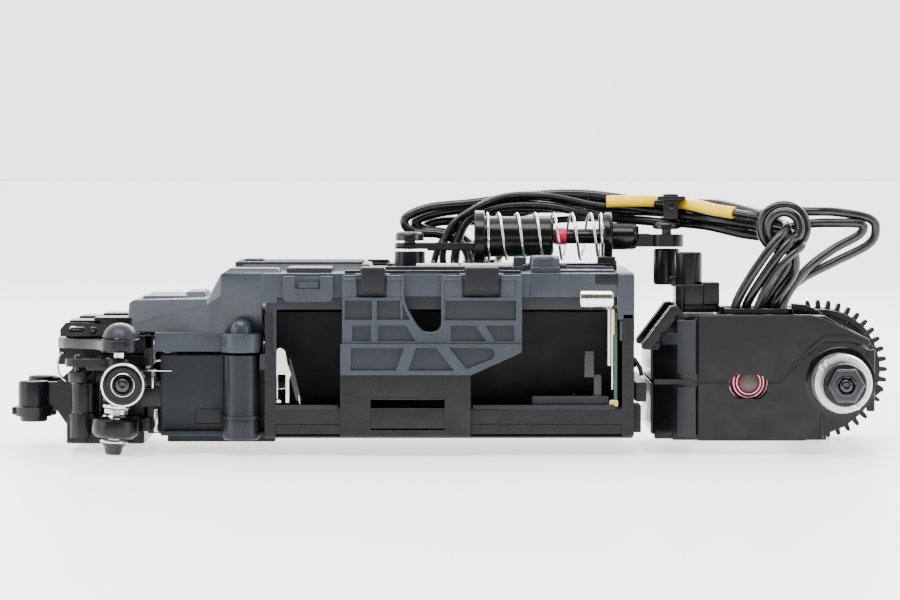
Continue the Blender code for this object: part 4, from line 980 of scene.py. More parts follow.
def make_upper_plate():
    """Arm plate with an eye at each kingpin, its bracket in front and the mid ribs."""
    half = [(-55.8, 10.0), (-54.6, 12.4), (-52.5, 14.6), (-50.4, 17.0), (-49.1, 19.6),
            *arc((-46.4, 21.2), 2.7, 195, 60, 12), (-43.8, 21.0)]
    outline = [(x, -y) for x, y in half] + half[::-1]
    form = Form()
    form.plate(outline, (14.25, 15.75), "XY", rounding=0.16)
    form.block((-55.75, -9.4, 11.9), (-54.8, 9.4, 14.5), 0.12)
    form.block((-55.0, -9.6, 11.95), (-43.6, 9.6, 14.4), 0.2)
    form.block((-54.7, -10.6, 15.6), (-47.5, 10.6, 16.35), 0.14)
    for side in SIDES.values():
        form.turned([(0, 14.1), (2.6, 14.1), (2.75, 14.3), (2.75, 15.8), (2.6, 15.95), (0, 15.95)],
                    (-46.3, side * KINGPIN_Y, 0), steps=36)
        form.side_block(side, (-44.8, 9.4, 14.3), (-42.2, 15.4, 16.2), 0.16)
        form.side_block(side, (-43.4, 9.4, 12.0), (-42.3, 15.4, 16.3), 0.12)
        bracket = [(-55.2, 16.0), (-55.2, 17.0), (-54.4, 17.9), (-51.8, 17.9), (-49.6, 17.7),
                   (-47.8, 17.9),
                   (-48.4, 16.0)]
        oval = [*arc((-53.6, 17.0), 0.4, 90, 270, 6), *arc((-52.2, 17.0), 0.4, -90, 90, 6)]
        eye = arc((-50.6, 16.85), 0.55, 0, 330, 11)
        form.plate(bracket, sorted((side * 12.7, side * 13.9)), holes=[oval, eye], rounding=0.1)
        form.side_block(side, (-54.6, 5.0, 16.2), (-50.0, 12.8, 17.0), 0.14)
        form.side_block(side, (-54.0, 5.0, 17.6), (-49.6, 12.8, 18.2), 0.12)
        form.side_block(side, (-50.6, 5.0, 17.4), (-45.6, 12.8, 18.6), 0.16)
    fixed("upper_arm_plate", form, FRAME, "chassis", ["suspension_upper_plate"])
    form = Form()
    for side in SIDES.values():
        form.rod(0.42, (-50.6, side * 12.8, 16.85), (-50.6, side * 14.05, 16.85), steps=20)
        form.side_block(side, (-53.8, 12.9, 16.8), (-52.0, 13.6, 17.2), 0.08)
    fixed("arm_plate_screws", form, GUNMETAL, "chassis")


def make_lower_plate():
    """Lower arm plate with a boss at each kingpin and its two body posts."""
    form = Form()
    form.block((-54.4, -13.6, 1.1), (-43.6, 13.6, 3.8), 0.25)
    form.block((-52.6, -14.0, 1.6), (-44.0, 14.0, 5.0), 0.3)
    for side in SIDES.values():
        centre = [Vector((p.x, side * p.y, p.z)) for p in (kingpin_at(2.3), kingpin_at(4.85))]
        axis = centre[1] - centre[0]
        form.turned([(1.15, 0), (2.5, 0), (3.1, 0.5), (3.15, 0.9), (3.15, 2.35), (2.95, 2.55),
                     (1.15, 2.55)],
                    centre[0], axis, steps=44)
        form.side_block(side, (-49.6, 12.8, 2.4), (-45.2, 18.6, 4.2), 0.2)
        post = (-51.85, side * 14.2)
        form.turned([(0, 2.0), (2.1, 2.0), (2.15, 5.2), (1.95, 5.5), (1.8, 5.6), (1.8, 9.4), (1.6, 9.6),
                     (0, 9.6)], (*post, 0), steps=32)
        form.side_block(side, (-54.2, 12.4, 1.3), (-51.6, 14.8, 4.9), 0.2)
        form.side_block(side, (-50.6, 12.4, 1.2), (-48.2, 14.8, 2.6), 0.12)
    fixed("lower_arm", form, FRAME, "chassis", ["lower_arm_plate"])


def make_bumper():
    """Front bar with its two round posts and the webs that carry it."""
    form = Form()
    form.block((-60.5, -7.6, 4.75), (-58.3, 7.6, 6.15), 0.2)
    for side in SIDES.values():
        y = side * 8
        form.turned([(0, 3.9), (1.75, 3.9), (1.9, 4.1), (1.95, 4.6), (2.55, 4.65), (2.65, 5.9),
                     (2.15, 6.15),
                     (2.15, 9.3), (1.95, 9.55), (1.2, 9.6), (1.1, 9.4), (0, 9.35)], (-59.4, y, 0),
                    steps=36)
        form.side_block(side, (-62.4, 7.1, 4.85), (-59.4, 8.9, 5.95), 0.2)
        low, high = sorted((side * 6.4, side * 7.6))
        web = [(-59.2, 9.4), (-54.6, 9.4), (-50.2, 8.9), (-50.2, 4.2), (-53.4, 3.4), (-54.6, 3.1),
               (-56.2, 5.4), (-59.2, 5.4)]
        form.plate(web, (low, high), rounding=0.12)
        brace = [(-56.4, 9.2), (-53.6, 11.6), (-50.8, 11.6), (-50.8, 8.9)]
        form.plate(brace, (low, high), rounding=0.1)
    fixed("bumper", form, FRAME, "chassis", ["front_bumper"])


def make_steering():
    """Servo case with its screws and springs, track rod, servo saver and retaining wire."""
    form = Form()
    form.block((-50.1, -10.4, 4.25), (-43.6, 10.4, 13.5), 0.25)
    form.block((-50.6, -9.0, 9.4), (-43.8, 9.0, 11.4), 0.15)
    for side in SIDES.values():
        form.side_block(side, (-50.4, 9.6, 9.0), (-47.2, 12.2, 11.0), 0.2)
        form.rod(0.7, (-49.4, side * 11.4, 10.8), (-49.4, side * 11.4, 12.0), steps=20)
        low, high = sorted((side * 10.2, side * 15.0))
        block = [(-44.2, 6.2), (-44.2, 8.9), (-39.6, 9.1), (-39.4, 8.5), (-40.6, 6.2)]
        form.plate(block, (low, high), rounding=0.25)
        form.side_block(side, (-44.3, 10.2, 9.2), (-42.2, 15.0, 11.4), 0.15)
        form.side_block(side, (-40.4, 10.2, 4.4), (-38.8, 15.0, 8.6), 0.15)
        form.side_block(side, (-43.9, 10.2, 2.9), (-42.6, 15.0, 4.7), 0.15)
    fixed("servo_box", form, FRAME, "chassis", ["servo_case"])
    form = Form()
    for side in SIDES.values():
        y = side * 15.2
        form.rod(0.42, (-41.8, y, 2.8), (-41.8, y, 6.0), steps=20)
        form.rod(0.3, (-41.0, y, 9.0), (-41.0, y, 9.7), steps=14)
        form.rod(0.3, (-39.9, y, 9.0), (-39.9, y, 9.5), steps=14)
        form.side_block(side, (-43.9, 15.2, 11.25), (-39.6, 16.2, 11.42), 0.05)
        form.side_block(side, (-42.4, 15.2, 8.9), (-42.15, 15.7, 11.3), 0.05)
        form.rod(0.25, (-38.6, y, 4.2), (-37.8, y, 4.2), steps=12)
    fixed("servo_screws", form, NICKEL, "chassis")
    form = Form()
    form.block((-53.0, -21.8, 10.35), (-51.5, 21.8, 11.15), 0.14)
    form.rod(0.45, (-52.4, 0, 10.75), (-54.5, 0, 10.75), steps=18)
    for side in SIDES.values():
        form.rod(1.3, (-52.2, side * 21.0, 10.0), (-52.2, side * 21.0, 11.35), steps=28)
        form.rod(0.45, (-52.2, side * 21.0, 11.2), (-52.2, side * 21.0, 13.75), steps=18)
    fixed("track_rod", form, GREY_DARK, "tie_rod", ["tie_rod"])
    form = Form()
    lever = [(-1.5, 11.5), (-0.85, 11.5), (-0.85, 9.6), (0.85, 9.6), (0.85, 11.5), (1.5, 11.5),
             (1.6, 6.0),
             *arc((0, 6.0), 1.6, -20, -160, 8), (-1.6, 6.0)]
    form.plate(lever, (-54.5, -53.55), "YZ", rounding=0.1)
    form.rod(1.0, (-53.8, 0, 6.0), (-50.6, 0, 6.0), steps=24)
    form.turned([(0, 0), (1.2, 0), (1.3, 0.15), (1.2, 0.3), (0, 0.3)], (-54.75, 0, 6.0), (1, 0, 0),
                steps=24)
    fixed("saver_lever", form, BLACK, "servo_saver", ["servo_saver"])
    form = Form()
    form.tube(smooth_route([(-54.75, -9.6, 9.6), (-55.6, -9.6, 10.4), (-55.9, -9.6, 12.0),
                            (-55.5, -9.6, 13.4),
                            (-55.1, -9.6, 13.6)]), 0.18, sides=8)
    fixed("retaining_wire", form, STEEL, "chassis")


# ---------------------------------------------------------------- motor pod

REAR_AXLE_X, MOTOR_X = 52.4, 39.92
POD_SIDE, POD_INNER = 19.5, 18.3
GEAR_MODULE, SPUR_TEETH, PINION_TEETH = 0.48, 40, 12


def pod_corner(side):
    """Footprint of the slanting wall between the pod's front and one side."""
    return [(26.6, side * 16.0), (27.6, side * 14.9), (33.3, side * 18.2), (32.85, side * 19.4)]


def make_pod_lower():
    """Lower half of the pod: side walls, corners, floor rails and the curved tail."""
    form = Form()
    hole = arc((REAR_AXLE_X, AXLE_Z), 4.25, 0, 352, 44)
    wall = [(32.9, 1.85), (47.3, 1.85), (49.4, 2.3), (53.2, 3.9), (55.5, 5.9), (56.8, 8.1), (57.2, 10.4),
            (57.0, 14.1), (53.6, 15.4), (49.9, 15.3), (43.9, 9.75)]
    window = [(42.5, 9.75), (42.5, 8.6), (41.5, 7.6), (38.2, 7.6), (37.2, 8.6), (37.2, 9.75)]
    front = [(32.9, 9.75)]
    form.plate(wall + window + front, (-POD_SIDE, -POD_INNER), holes=[hole], rounding=0.14)
    form.plate(wall + front, (POD_INNER, POD_SIDE), holes=[hole], rounding=0.14)
    for side in SIDES.values():
        form.rings([[(x, y, z) for x, y in pod_corner(side)] for z in (2.6, 9.75)], 0.1)
        form.side_block(side, (49.6, 18.9, 2.0), (50.1, 19.75, 5.6), 0.1)
        form.side_block(side, (46.6, 17.4, 1.9), (48.8, 18.5, 5.8), 0.1)
    form.block((26.5, -16.1, 2.7), (27.6, 16.1, 9.7), 0.12)
    form.block((27.0, -16.6, 1.95), (29.6, 16.6, 3.0), 0.2)
    for low, high in ((-18.6, -16.2), (14.5, 18.6)):
        form.block((29.4, low, 1.9), (50.6, high, 3.1), 0.15)
    tail = [(50.4, 2.7), (53.0, 3.95), (55.3, 5.9), (56.6, 8.1), (57.0, 10.4), (56.8, 14.0), (55.8, 14.2),
            (55.9, 10.5), (55.3, 8.4), (54.2, 6.8), (52.3, 5.1), (50.2, 4.0)]
    form.plate(tail, (-18.9, 18.9), rounding=0.15)
    form.plate([(56.6, 6.6), (58.9, 8.5), (58.9, 8.9), (57.0, 10.0)], (-13.0, -9.0), rounding=0.1)
    fixed("pod_lower", form, POD, "pod", ["pod_lower_case"])


def make_pod_upper():
    """Upper half of the pod: side walls, the lid with its lead slot, front slope and corners."""
    form = Form()
    top = [(32.9, 10.05), (37.2, 10.05), (38.2, 10.9), (41.5, 10.9), (42.5, 10.05), (43.6, 10.05),
           (49.5, 15.75),
           (53.4, 15.85), (56.35, 14.9), (56.55, 15.3), (56.2, 15.9), (50.2, 18.6), (48.8, 19.05),
           (32.9, 19.05)]
    form.plate(top, (-POD_SIDE, -POD_INNER), rounding=0.14)
    far = [(32.9, 10.05), (43.6, 10.05), (49.5, 15.75), (53.4, 15.85), (56.35, 14.9), (56.4, 15.2),
           (53.4, 16.2), (47.6, 17.4), (46.2, 19.05), (32.9, 19.05)]
    form.plate(far, (POD_INNER, POD_SIDE), rounding=0.14)
    lid = [(29.8, -17.2), (33.1, -18.9), (50.2, -18.9), (50.2, -14.6), (46.3, -14.2), (46.3, 18.9),
           (33.1, 18.9),
           (29.8, 17.2)]
    slot = [(36.6, -15.5), (45.6, -15.5), (45.6, -8.3), (36.6, -8.3)]
    form.plate(lid, (17.9, 19.0), "XY", holes=[slot], rounding=0.14)
    form.rings([[(x, y, z) for x, z in ((49.6, 17.9), (50.2, 19.0), (56.5, 15.75), (56.2, 14.9))]
                for y in (-18.8, -15.6)], 0.12)
    form.rings([[(x, y, z) for x, z in ((26.5, 10.1), (26.5, 14.6), (30.0, 19.0), (31.0, 18.2),
                                        (27.6, 14.1),
                                        (27.6, 10.1))] for y in (-16.1, 16.1)], 0.12)
    for side in SIDES.values():
        form.rings([[(x, y, 10.1) for x, y in pod_corner(side)],
                    [(x, y, z) for (x, y), z in zip(pod_corner(side), (14.6, 14.6, 18.95, 18.95))]], 0.1)
        form.rings([[(26.6, side * 16.0, 14.3), (30.0, side * 16.4, 18.95), (32.9, side * 19.3, 18.95)],
                    [(27.8, side * 14.8, 14.0), (30.6, side * 15.6, 18.2), (33.3, side * 18.2, 18.2)]],
                   0.0)
    form.block((33.2, -19.3, 18.6), (48.6, -18.4, 19.2), 0.16)
    form.block((33.2, 18.4, 18.6), (48.6, 19.3, 19.2), 0.16)
    fixed("pod_upper", form, POD, "pod", ["pod_upper_case"])


def make_pod_details():
    """Front ribs, slot rim, gear guard, side bands, axle rings, parting seam and cheek panels."""
    form = Form()
    for y in (-16.6, -14.6, -12.6, 3.0, 6.0):
        rib = [(25.4, 14.3), (25.3, 14.9), (29.3, 20.2), (30.2, 20.3), (31.2, 19.0), (27.2, 14.2)]
        form.plate(rib, (y, y + 0.9), rounding=0.12)
    form.rings([[(x, y, z) for x, z in ((26.4, 14.4), (29.6, 18.4), (30.6, 18.2), (27.4, 14.2))]
                for y in (-16.6, -11.7)], 0.08)
    for y in (-15.9, -8.6):
        form.block((36.2, y, 18.8), (46.2, y + 0.7, 19.9), 0.12)
    form.block((36.0, -15.9, 18.8), (36.7, -7.9, 20.2), 0.12)
    form.block((45.4, -15.9, 18.8), (46.2, -7.9, 19.9), 0.12)
    form.plate([(46.4, 18.9), (46.4, 20.4), (48.4, 20.2), (50.2, 19.4), (52.0, 18.0), (50.0, 18.2)],
               (-9.0, -6.0), rounding=0.12)
    guard = [*arc((REAR_AXLE_X, AXLE_Z), 8.9, 118, 40, 14), *arc((REAR_AXLE_X, AXLE_Z), 8.0, 40, 118, 14)]
    form.plate(guard, (14.6, 19.4), rounding=0.12)
    inner = [*arc((REAR_AXLE_X, AXLE_Z), 7.2, 118, 30, 12), *arc((REAR_AXLE_X, AXLE_Z), 6.5, 30, 118, 12)]
    form.plate(inner, (-5.6, 16.8), rounding=0.1)
    for side in SIDES.values():
        low, high = sorted((side * 19.2, side * 19.72))
        band = [(47.6, 14.2), (50.2, 16.6), (53.8, 16.7), (56.0, 15.8), (56.1, 14.9), (53.6, 15.55),
                (50.2, 15.5), (48.2, 13.8)]
        form.plate(band, (low, high), rounding=0.1)
        form.side_block(side, (56.0, 19.2, 5.9), (57.15, 19.72, 14.4), 0.2)
        form.turned([(4.1, 0), (4.9, 0), (4.9, 0.35), (4.7, 0.5), (4.1, 0.5)],
                    (REAR_AXLE_X, side * 19.4, AXLE_Z), (0, side, 0), steps=48)
    seam = [[(26.9, 9.6), (37.15, 9.6), (37.15, 10.3), (26.9, 10.3)],
            [(42.55, 9.6), (44.1, 9.6), (50.0, 15.3), (53.6, 15.4), (53.6, 16.0), (49.3, 16.0),
             (43.5, 10.3),
             (42.55, 10.3)]]
    for strip in seam:
        for side in SIDES.values():
            form.plate(strip, sorted((side * 18.35, side * 19.15)), rounding=0)
    fixed("pod_details", form, POD, "pod")
    form = Form()
    for side in SIDES.values():
        slant = Vector((6.0, side * 3.2, 0)).normalized()
        start = Vector((27.0, side * 16.6, 0))
        outward = Vector((-slant.y, slant.x, 0)) * side
        for a, b, low, high in ((3.6, 6.4, 11.0, 18.4), (1.2, 3.8, 15.0, 16.6), (3.6, 6.4, 2.4, 9.3)):
            near, far = start + slant * a, start + slant * b
            panel = [near, far, far + outward * 0.35, near + outward * 0.35]
            form.rings([[(p.x, p.y, z) for p in panel] for z in (low, high)], 0.1)
    fixed("pod_cheeks", form, GREY_DARK, "pod")


def make_motor():
    """Motor can with flat top and bottom, its red end bell and its shaft."""
    form = Form()
    edge = math.degrees(math.asin(7.55 / 10.05))
    outline = [*arc((MOTOR_X, AXLE_Z), 10.05, -edge, edge, 16),
               *arc((MOTOR_X, AXLE_Z), 10.05, 180 - edge, 180 + edge, 16)]
    form.plate(outline, (-12.7, 12.0), rounding=0.3)
    form.turned([(1.1, 0), (3.0, 0), (3.0, 1.6), (2.8, 1.85), (1.1, 1.85)], (MOTOR_X, 11.5, AXLE_Z),
                (0, 1, 0), steps=32)
    fixed("motor_shell", form, STEEL, "pod", ["motor_can"])
    form = Form()
    form.turned([(0, -0.3), (7.3, -0.3), (7.3, 2.2), (7.0, 2.5), (3.9, 2.6), (3.6, 3.4), (2.9, 3.5),
                 (2.8, 3.1), (2.4, 3.1), (2.3, 4.3), (1.9, 4.4), (1.8, 3.9), (1.5, 3.9), (1.4, 4.9),
                 (1.0, 5.1), (0, 5.1)], (MOTOR_X, -13.0, AXLE_Z - 0.1), (0, -1, 0), steps=44)
    for x in (-4.4, 4.4):
        form.block((MOTOR_X + x - 1.6, -16.4, AXLE_Z - 3.0), (MOTOR_X + x + 1.6, -13.2, AXLE_Z + 1.2),
                   0.4)
    fixed("end_bell", form, RED, "pod", ["motor_end_bell"])
    form = Form()
    for radius, depth in ((2.62, 3.5), (2.05, 4.35), (1.6, 4.85)):
        form.turned([(radius - 0.05, depth - 0.2), (radius + 0.1, depth - 0.2),
                     (radius + 0.08, depth + 0.06),
                     (radius - 0.03, depth + 0.06)], (MOTOR_X, -13.0, AXLE_Z - 0.1), (0, -1, 0), steps=44)
    fixed("end_bell_rims", form, ALLOY, "pod")
    form = Form()
    form.turned([(0, 4.6), (1.3, 4.6), (1.3, 5.3), (1.1, 5.45), (0, 5.5)], (MOTOR_X, -13.0, AXLE_Z - 0.1),
                (0, -1, 0), steps=36)
    fixed("end_bell_bush", form, BUSH, "pod")
    form = Form()
    form.rod(0.8, (MOTOR_X, -11.8, AXLE_Z), (MOTOR_X, 22.9, AXLE_Z), steps=24)
    fixed("rotor_shaft", form, STEEL, "rotor", ["motor_shaft"])


def tooth_ring(teeth, centre, turn=0.0):
    """Gear outline with rounded tips and slim flanks, turned by an angle."""
    pitch = GEAR_MODULE * teeth / 2
    tip, root = pitch + GEAR_MODULE, pitch - 1.25 * GEAR_MODULE
    step = 2 * math.pi / teeth
    outline = []
    for tooth in range(teeth):
        for radius, share in ((root, -0.30), (root + 0.1, -0.25), (pitch, -0.22), (tip - 0.1, -0.15),
                              (tip, -0.08), (tip, 0.08), (tip - 0.1, 0.15), (pitch, 0.22),
                              (root + 0.1, 0.25), (root, 0.30)):
            angle = (tooth + share) * step + turn
            outline.append((centre[0] + radius * math.cos(angle), centre[1] + radius * math.sin(angle)))
    return outline


def make_gears():
    """Spur gear with six round holes, and the pinion turned to mesh with it."""
    centre = (REAR_AXLE_X, AXLE_Z)
    form = Form()
    holes = [arc((centre[0] + 5.7 * math.cos(i * math.pi / 3),
                  centre[1] + 5.7 * math.sin(i * math.pi / 3)),
                 1.5, 0, 345, 15) for i in range(6)]
    form.plate(tooth_ring(SPUR_TEETH, centre), (19.85, 21.95),
               holes=[*holes, arc(centre, 1.3, 0, 345, 23)],
               rounding=0.05)
    form.turned([(1.25, 0), (3.2, 0), (3.2, 2.9), (3.0, 3.15), (1.25, 3.2)], (centre[0], 21.0, centre[1]),
                (0, 1, 0), steps=32)
    form.turned([(7.6, 0), (8.2, 0), (8.2, 0.5), (7.6, 0.5)], (centre[0], 21.7, centre[1]), (0, 1, 0),
                steps=48)
    fixed("spur_wheel", form, BLACK, "rear_axle", ["spur_gear"])
    form = Form()
    pinion = tooth_ring(PINION_TEETH, (MOTOR_X, AXLE_Z), math.pi / PINION_TEETH)
    form.plate(pinion, (19.85, 22.3), holes=[arc((MOTOR_X, AXLE_Z), 0.85, 0, 340, 17)], rounding=0.04)
    fixed("pinion_wheel", form, BRASS, "rotor", ["pinion"])


def make_rear_axle():
    """Axle, the alloy holders it turns in, and a wheel seat with its nut on each end."""
    form = Form()
    for side in SIDES.values():
        form.turned([(0, 0), (0.98, 0), (0.98, 29.7), (0.8, 29.95), (0.45, 29.98), (0.4, 29.4),
                     (0, 29.35)],
                    (REAR_AXLE_X, 0, AXLE_Z), (0, side, 0), steps=28)
    fixed("axle_rod", form, GUNMETAL, "rear_axle", ["rear_axle"])
    for word, side in SIDES.items():
        form = Form()
        start, length = (18.6, 5.6) if side < 0 else (17.4, 2.0)
        form.turned([(1.6, 0), (4.0, 0), (4.05, length - 0.35), (3.85, length), (3.0, length),
                     (2.9, length - 0.3), (1.6, length - 0.3)],
                    (REAR_AXLE_X, start, AXLE_Z), (0, 1, 0), steps=52)
        if side < 0:
            for angle in (128, 142, 302):
                a = math.radians(angle)
                x, z = REAR_AXLE_X + 3.6 * math.cos(a), AXLE_Z + 3.6 * math.sin(a)
                form.rings([[(x + 0.55 * math.cos(a + t), y, z + 0.55 * math.sin(a + t))
                             for t in (0.5, 2.6, 3.7, 5.8)] for y in (23.4, 24.4)], 0.08)
        fixed(f"axle_carrier_{word}", form.onto(side), ALLOY, "pod", [f"axle_holder_{word}"])
        form = Form()
        form.turned([(1.25, 0), (2.7, 0), (3.0, 0.25), (3.0, 0.9), (2.75, 1.0), (2.75, 1.3), (3.0, 1.4),
                     (3.0, 3.2), (2.85, 3.45), (1.25, 3.5)], (REAR_AXLE_X, 24.55, AXLE_Z), (0, 1, 0),
                    steps=44)
        fixed(f"drive_hub_{word}", form.onto(side), BLACK, "rear_axle",
              [f"wheel_hub_{word}"])
        form = Form()
        form.turned([(1.25, 0), (2.6, 0), (2.6, 1.15), (2.3, 1.5), (1.25, 1.5)],
                    (REAR_AXLE_X, 28.4, AXLE_Z), (0, 1, 0), steps=6, rounding=0.1)
        form.turned([(1.25, 1.4), (1.5, 1.4), (1.5, 1.7), (1.4, 1.75), (1.25, 1.75)],
                    (REAR_AXLE_X, 28.2, AXLE_Z), (0, 1, 0), steps=32)
        fixed(f"drive_hex_{word}", form.onto(side), GUNMETAL, "rear_axle", [f"wheel_hex_{word}"])


def make_pod_link():
    """Cross link that the pod pivots on, and the chassis brackets beside it."""
    form = Form()
    form.block((24.35, -16.3, 7.05), (25.95, 16.3, 9.75), 0.2)
    for side in SIDES.values():
        form.rod(0.9, (24.5, side * 9.0, 8.4), (25.9, side * 9.0, 8.4), steps=20)
    fixed("pivot_link", form, GREY_DARK, "pod_link", ["pod_pivot_link"])
    form = Form()
    for low, high in ((-16.0, -9.0), (9.0, 16.0)):
        form.block((24.1, low, 2.8), (25.2, high, 6.6), 0.15)
        form.tube(smooth_route([(24.2, low + 1.2, 13.0), (25.0, low + 1.4, 11.8),
                                (25.3, low + 1.6, 10.6)]),
                  0.3, sides=10)
    fixed("link_bracket", form, FRAME, "chassis")


# ---------------------------------------------------------------- damper

DAMPER_Z = 29.6
DAMPER_FRONT_X, DAMPER_REAR_X = -6.9, 29.4


def make_damper_mounts():
    """Front stay and rear stay with their screws, and the hook that holds the leads."""
    form = Form()
    form.turned([(0, 25.0), (2.3, 25.0), (2.2, 25.3), (2.15, DAMPER_Z - 2.1), (0, DAMPER_Z - 2.1)],
                (DAMPER_FRONT_X, 0, 0), steps=32)
    form.turned([(0, 21.0), (2.6, 21.0), (2.6, 25.2), (0, 25.2)], (DAMPER_FRONT_X, 0, 0), steps=32)
    form.block((-9.5, -2.9, 24.7), (-4.3, 2.9, 25.35), 0.15)
    form.block((-4.6, -2.4, 25.0), (1.8, 2.4, 25.5), 0.12)
    fixed("damper_front_stay", form, BLACK, "chassis", ["damper_front_post"])
    form = Form()
    form.turned([(0, 2.5), (0.7, 2.45), (0.75, 2.1), (1.2, 2.1), (1.3, 2.45), (1.75, 2.4), (2.0, 2.1),
                 (2.0, 1.3), (1.85, 1.2), (0.8, 1.2), (0.8, 0), (0, 0)],
                (DAMPER_FRONT_X, 0, DAMPER_Z - 1.8), steps=32)
    fixed("front_screw", form, GUNMETAL, "chassis", ["damper_front_screw"])

    form = Form()
    form.turned([(0, 22.8), (1.65, 22.8), (1.85, 23.1), (1.85, 27.6), (1.65, 27.85), (0, 27.9)],
                (DAMPER_REAR_X, 0, 0), steps=36)
    form.turned([(0, 22.9), (1.9, 22.9), (1.9, 27.3), (1.7, 27.55), (0, 27.6)], (32.1, -8, 0), steps=36)
    form.block((30.3, -10.5, 19.3), (36.1, 2.5, 20.5), 0.2)
    form.block((29.6, -8.6, 22.8), (33.4, 1.4, 24.2), 0.2)
    form.block((30.4, -5.8, 20.2), (33.4, 1.6, 23.0), 0.2)
    form.block((30.2, -10.5, 20.3), (36.1, -5.5, 23.1), 0.2)
    form.block((34.0, -10.7, 20.2), (36.3, -5.3, 23.4), 0.2)
    form.block((29.6, -9.9, 19.2), (37.4, -6.0, 19.8), 0.1)
    form.rod(0.5, (31.0, -10.7, 19.2), (31.0, -10.7, 23.0), steps=16)
    fixed("rear_damper_stay", form, BLACK, "pod", ["damper_rear_post"])
    form = Form()
    form.turned([(0, 3.55), (0.6, 3.5), (0.65, 3.2), (1.15, 3.2), (1.25, 3.5), (1.7, 3.45), (2.0, 3.1),
                 (2.0, 2.6), (1.8, 2.45), (0.7, 2.4), (0.7, 0), (0, 0)],
                (DAMPER_REAR_X, 0, DAMPER_Z - 1.4), steps=32)
    fixed("rear_screw", form, GUNMETAL, "pod", ["damper_rear_screw"])
    form = Form()
    low, roof, top = DAMPER_Z + 2.4, DAMPER_Z + 5.3, DAMPER_Z + 6.0
    hook = [(-1.3, low), (1.3, low), (1.3, roof), (5.4, roof), (5.4, low), (6.1, low), (6.1, top),
            (-1.3, top)]
    form.plate(hook, (DAMPER_REAR_X - 0.5, DAMPER_REAR_X + 1.6), "YZ", rounding=0.16)
    form.block((DAMPER_REAR_X - 1.3, -1.6, top - 0.9), (DAMPER_REAR_X + 2.6, 1.7, top - 0.3), 0.16)
    form.rod(0.55, (DAMPER_REAR_X + 0.6, -1.6, low + 1.8), (DAMPER_REAR_X + 0.6, -1.0, low + 1.8),
             steps=20)
    fixed("lead_clip", form, BLACK, "pod", ["cable_clip"])


def make_damper():
    """Damper cylinder and rod with their eyes, the red seal, and the coil round them."""
    rear = (1, 0, 0)
    form = Form()
    form.turned([(1.45, 11.2), (2.4, 11.2), (2.8, 10.95), (2.9, 10.7), (2.9, 1.55), (3.55, 1.5),
                 (3.7, 1.35),
                 (3.7, 0.15), (3.5, 0.0), (1.0, 0.0), (1.0, 3.0), (1.45, 3.0)],
                (2.2, 0, DAMPER_Z), rear, steps=48)
    form.turned([(0, 0), (1.2, 0), (1.2, 0.8), (0, 0.8)], (2.3, 0, DAMPER_Z), rear, steps=24)
    arm = [(2.5, -1.7), (2.5, 1.7), (-4.8, 1.9), *arc((DAMPER_FRONT_X, 0), 2.1, 60, 300, 16),
           (-4.8, -1.9)]
    form.plate(arm, (DAMPER_Z - 1.75, DAMPER_Z - 0.9), "XY", holes=[arc((DAMPER_FRONT_X, 0), 1.1, 0, 345,
                                                                        23)], rounding=0.12)
    form.block((-4.4, -1.3, DAMPER_Z - 2.0), (2.4, 1.3, DAMPER_Z - 1.5), 0.12)
    fixed("damper_cylinder", form, BLACK, "damper_body", ["damper_body"])

    form = Form()
    form.turned([(0, 18.2), (1.3, 18.15), (1.75, 17.7), (1.9, 17.2), (1.9, 14.5), (3.35, 14.4),
                 (3.5, 14.2),
                 (3.5, 13.4), (3.35, 13.2), (1.05, 13.1), (1.05, 0), (0, 0)], (7.3, 0, DAMPER_Z), rear,
                steps=48)
    lug = [(24.2, -1.3), (27.6, -1.4), *arc((DAMPER_REAR_X, 0), 2.4, 215, 505, 24), (27.6, 1.4),
           (24.2, 1.3)]
    form.plate(lug, (DAMPER_Z - 1.45, DAMPER_Z + 0.3), "XY", holes=[arc((DAMPER_REAR_X, 0), 1.45, 0, 345,
                                                                        23)], rounding=0.16)
    form.block((24.0, -1.0, DAMPER_Z - 0.6), (27.0, 1.0, DAMPER_Z + 0.4), 0.12)
    fixed("damper_shaft", form, BLACK, "damper_rod", ["damper_rod"])
    form = Form()
    form.rod(0.8, (13.2, 0, DAMPER_Z), (20.6, 0, DAMPER_Z), steps=20, rounding=0)
    form.turned([(0.7, 0), (1.1, 0), (1.2, 0.2), (1.2, 1.3), (1.1, 1.5), (0.7, 1.5)],
                (13.7, 0, DAMPER_Z), rear, steps=28)
    fixed("damper_seal", form, RED, "damper_rod")

    form = Form()
    form.coil(3.3, 0.2, (3.9, 0, DAMPER_Z), rear, 16.4, 8.0, per_turn=36, closed_ends=1.0)
    spring = loose("damper_coil", form, NICKEL, ["damper_spring"])
    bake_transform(spring)


# ---------------------------------------------------------------- studio

FRONT_GLOW, BACK_GLOW = 0.12, 3.0      # the room in front of the car, the bright wall behind it
FLOOR_RADIUS, FLOOR_GLOW = 6.0, 1.1
LAMP_AIM = (0.0, 0.0, 0.015)
LAMPS = {       # place, size and power
    "key": ((-0.10, -0.30, 0.60), (0.7, 0.30), 6.5),
    "rim": ((0.15, 0.50, 0.45), (0.8, 0.25), 7.0),
    "fill": ((-0.60, -0.30, 0.18), (0.30, 0.30), 1.2),
    "side": ((0.60, -0.30, 0.25), (0.30, 0.40), 1.6),
}


def area_light(name, place, size, power):
    """Rectangular lamp aimed at the car."""
    data = bpy.data.lights.new(name, "AREA")
    data.shape = "RECTANGLE"
    data.size, data.size_y = size
    data.energy = power
    light = bpy.data.objects.new(name, data)
    light.location = place
    light.rotation_euler = (Vector(LAMP_AIM) - Vector(place)).to_track_quat("-Z", "Y").to_euler()
    bpy.context.scene.collection.objects.link(light)


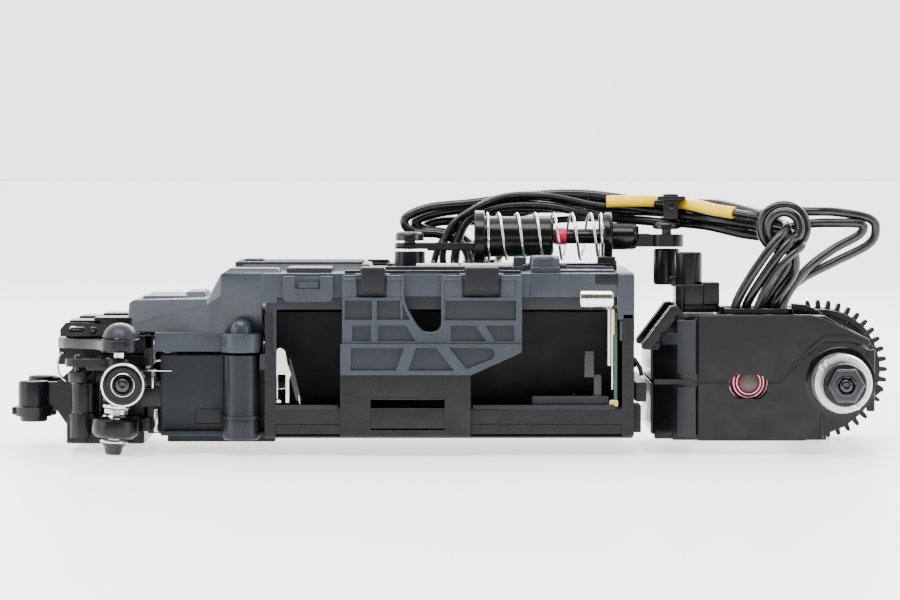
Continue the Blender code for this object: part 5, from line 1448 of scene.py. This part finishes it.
def make_studio():
    """Pale floor, a room that is bright behind the car, and four soft lamps."""
    bm = bmesh.new()
    bmesh.ops.create_circle(bm, cap_ends=True, segments=96, radius=FLOOR_RADIUS)
    mesh = bpy.data.meshes.new("floor")
    bm.to_mesh(mesh)
    bm.free()
    floor = bpy.data.objects.new("floor", mesh)
    bpy.context.scene.collection.objects.link(floor)
    shader = Shader("studio_floor")
    shader.surface.inputs["Roughness"].default_value = 0.30
    shader.surface.inputs["Emission Color"].default_value = (1, 1, 1, 1)
    shader.surface.inputs["Emission Strength"].default_value = FLOOR_GLOW
    shader.link(shader.blend(shader.noise(4.0), (0.90, 0.90, 0.905), (0.93, 0.93, 0.93)),
                shader.surface.inputs["Base Color"])
    floor.data.materials.append(shader.material)

    world = bpy.data.worlds.new("studio")
    world.use_nodes = True
    tree = world.node_tree
    direction = tree.nodes.new("ShaderNodeTexCoord").outputs["Generated"]
    parts = tree.nodes.new("ShaderNodeSeparateXYZ")
    tree.links.new(direction, parts.inputs["Vector"])
    ramp = tree.nodes.new("ShaderNodeMapRange")
    ramp.inputs["From Min"].default_value = -0.55
    ramp.inputs["From Max"].default_value = 0.35
    ramp.inputs["To Min"].default_value = FRONT_GLOW
    ramp.inputs["To Max"].default_value = BACK_GLOW
    tree.links.new(parts.outputs["Y"], ramp.inputs["Value"])
    tree.nodes["Background"].inputs["Color"].default_value = (1, 1, 1, 1)
    tree.links.new(ramp.outputs["Result"], tree.nodes["Background"].inputs["Strength"])
    bpy.context.scene.world = world
    for name, (place, size, power) in LAMPS.items():
        area_light(name, place, size, power)


# ---------------------------------------------------------------- build

def finish_switch():
    """The power switch keeps its CAD mesh, with rounded edges and the black plastic."""
    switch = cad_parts["power_switch"]
    switch.data.materials.clear()
    switch.data.materials.append(BLACK)
    rounded = switch.modifiers.new("edges", "BEVEL")
    rounded.width = 0.2 * MM
    rounded.segments = 2


for make in (make_tub, make_bay_walls, make_sill_strips, make_nose_box, make_cover, make_cover_sides,
             make_cover_top, make_clips, make_contacts, make_board, make_servo_motor, make_kingpins,
             make_knuckles, make_upper_plate, make_lower_plate, make_bumper, make_steering,
             make_pod_lower,
             make_pod_upper, make_pod_details, make_motor, make_gears, make_rear_axle, make_pod_link,
             make_damper_mounts, make_damper, make_studio, finish_switch):
    make()
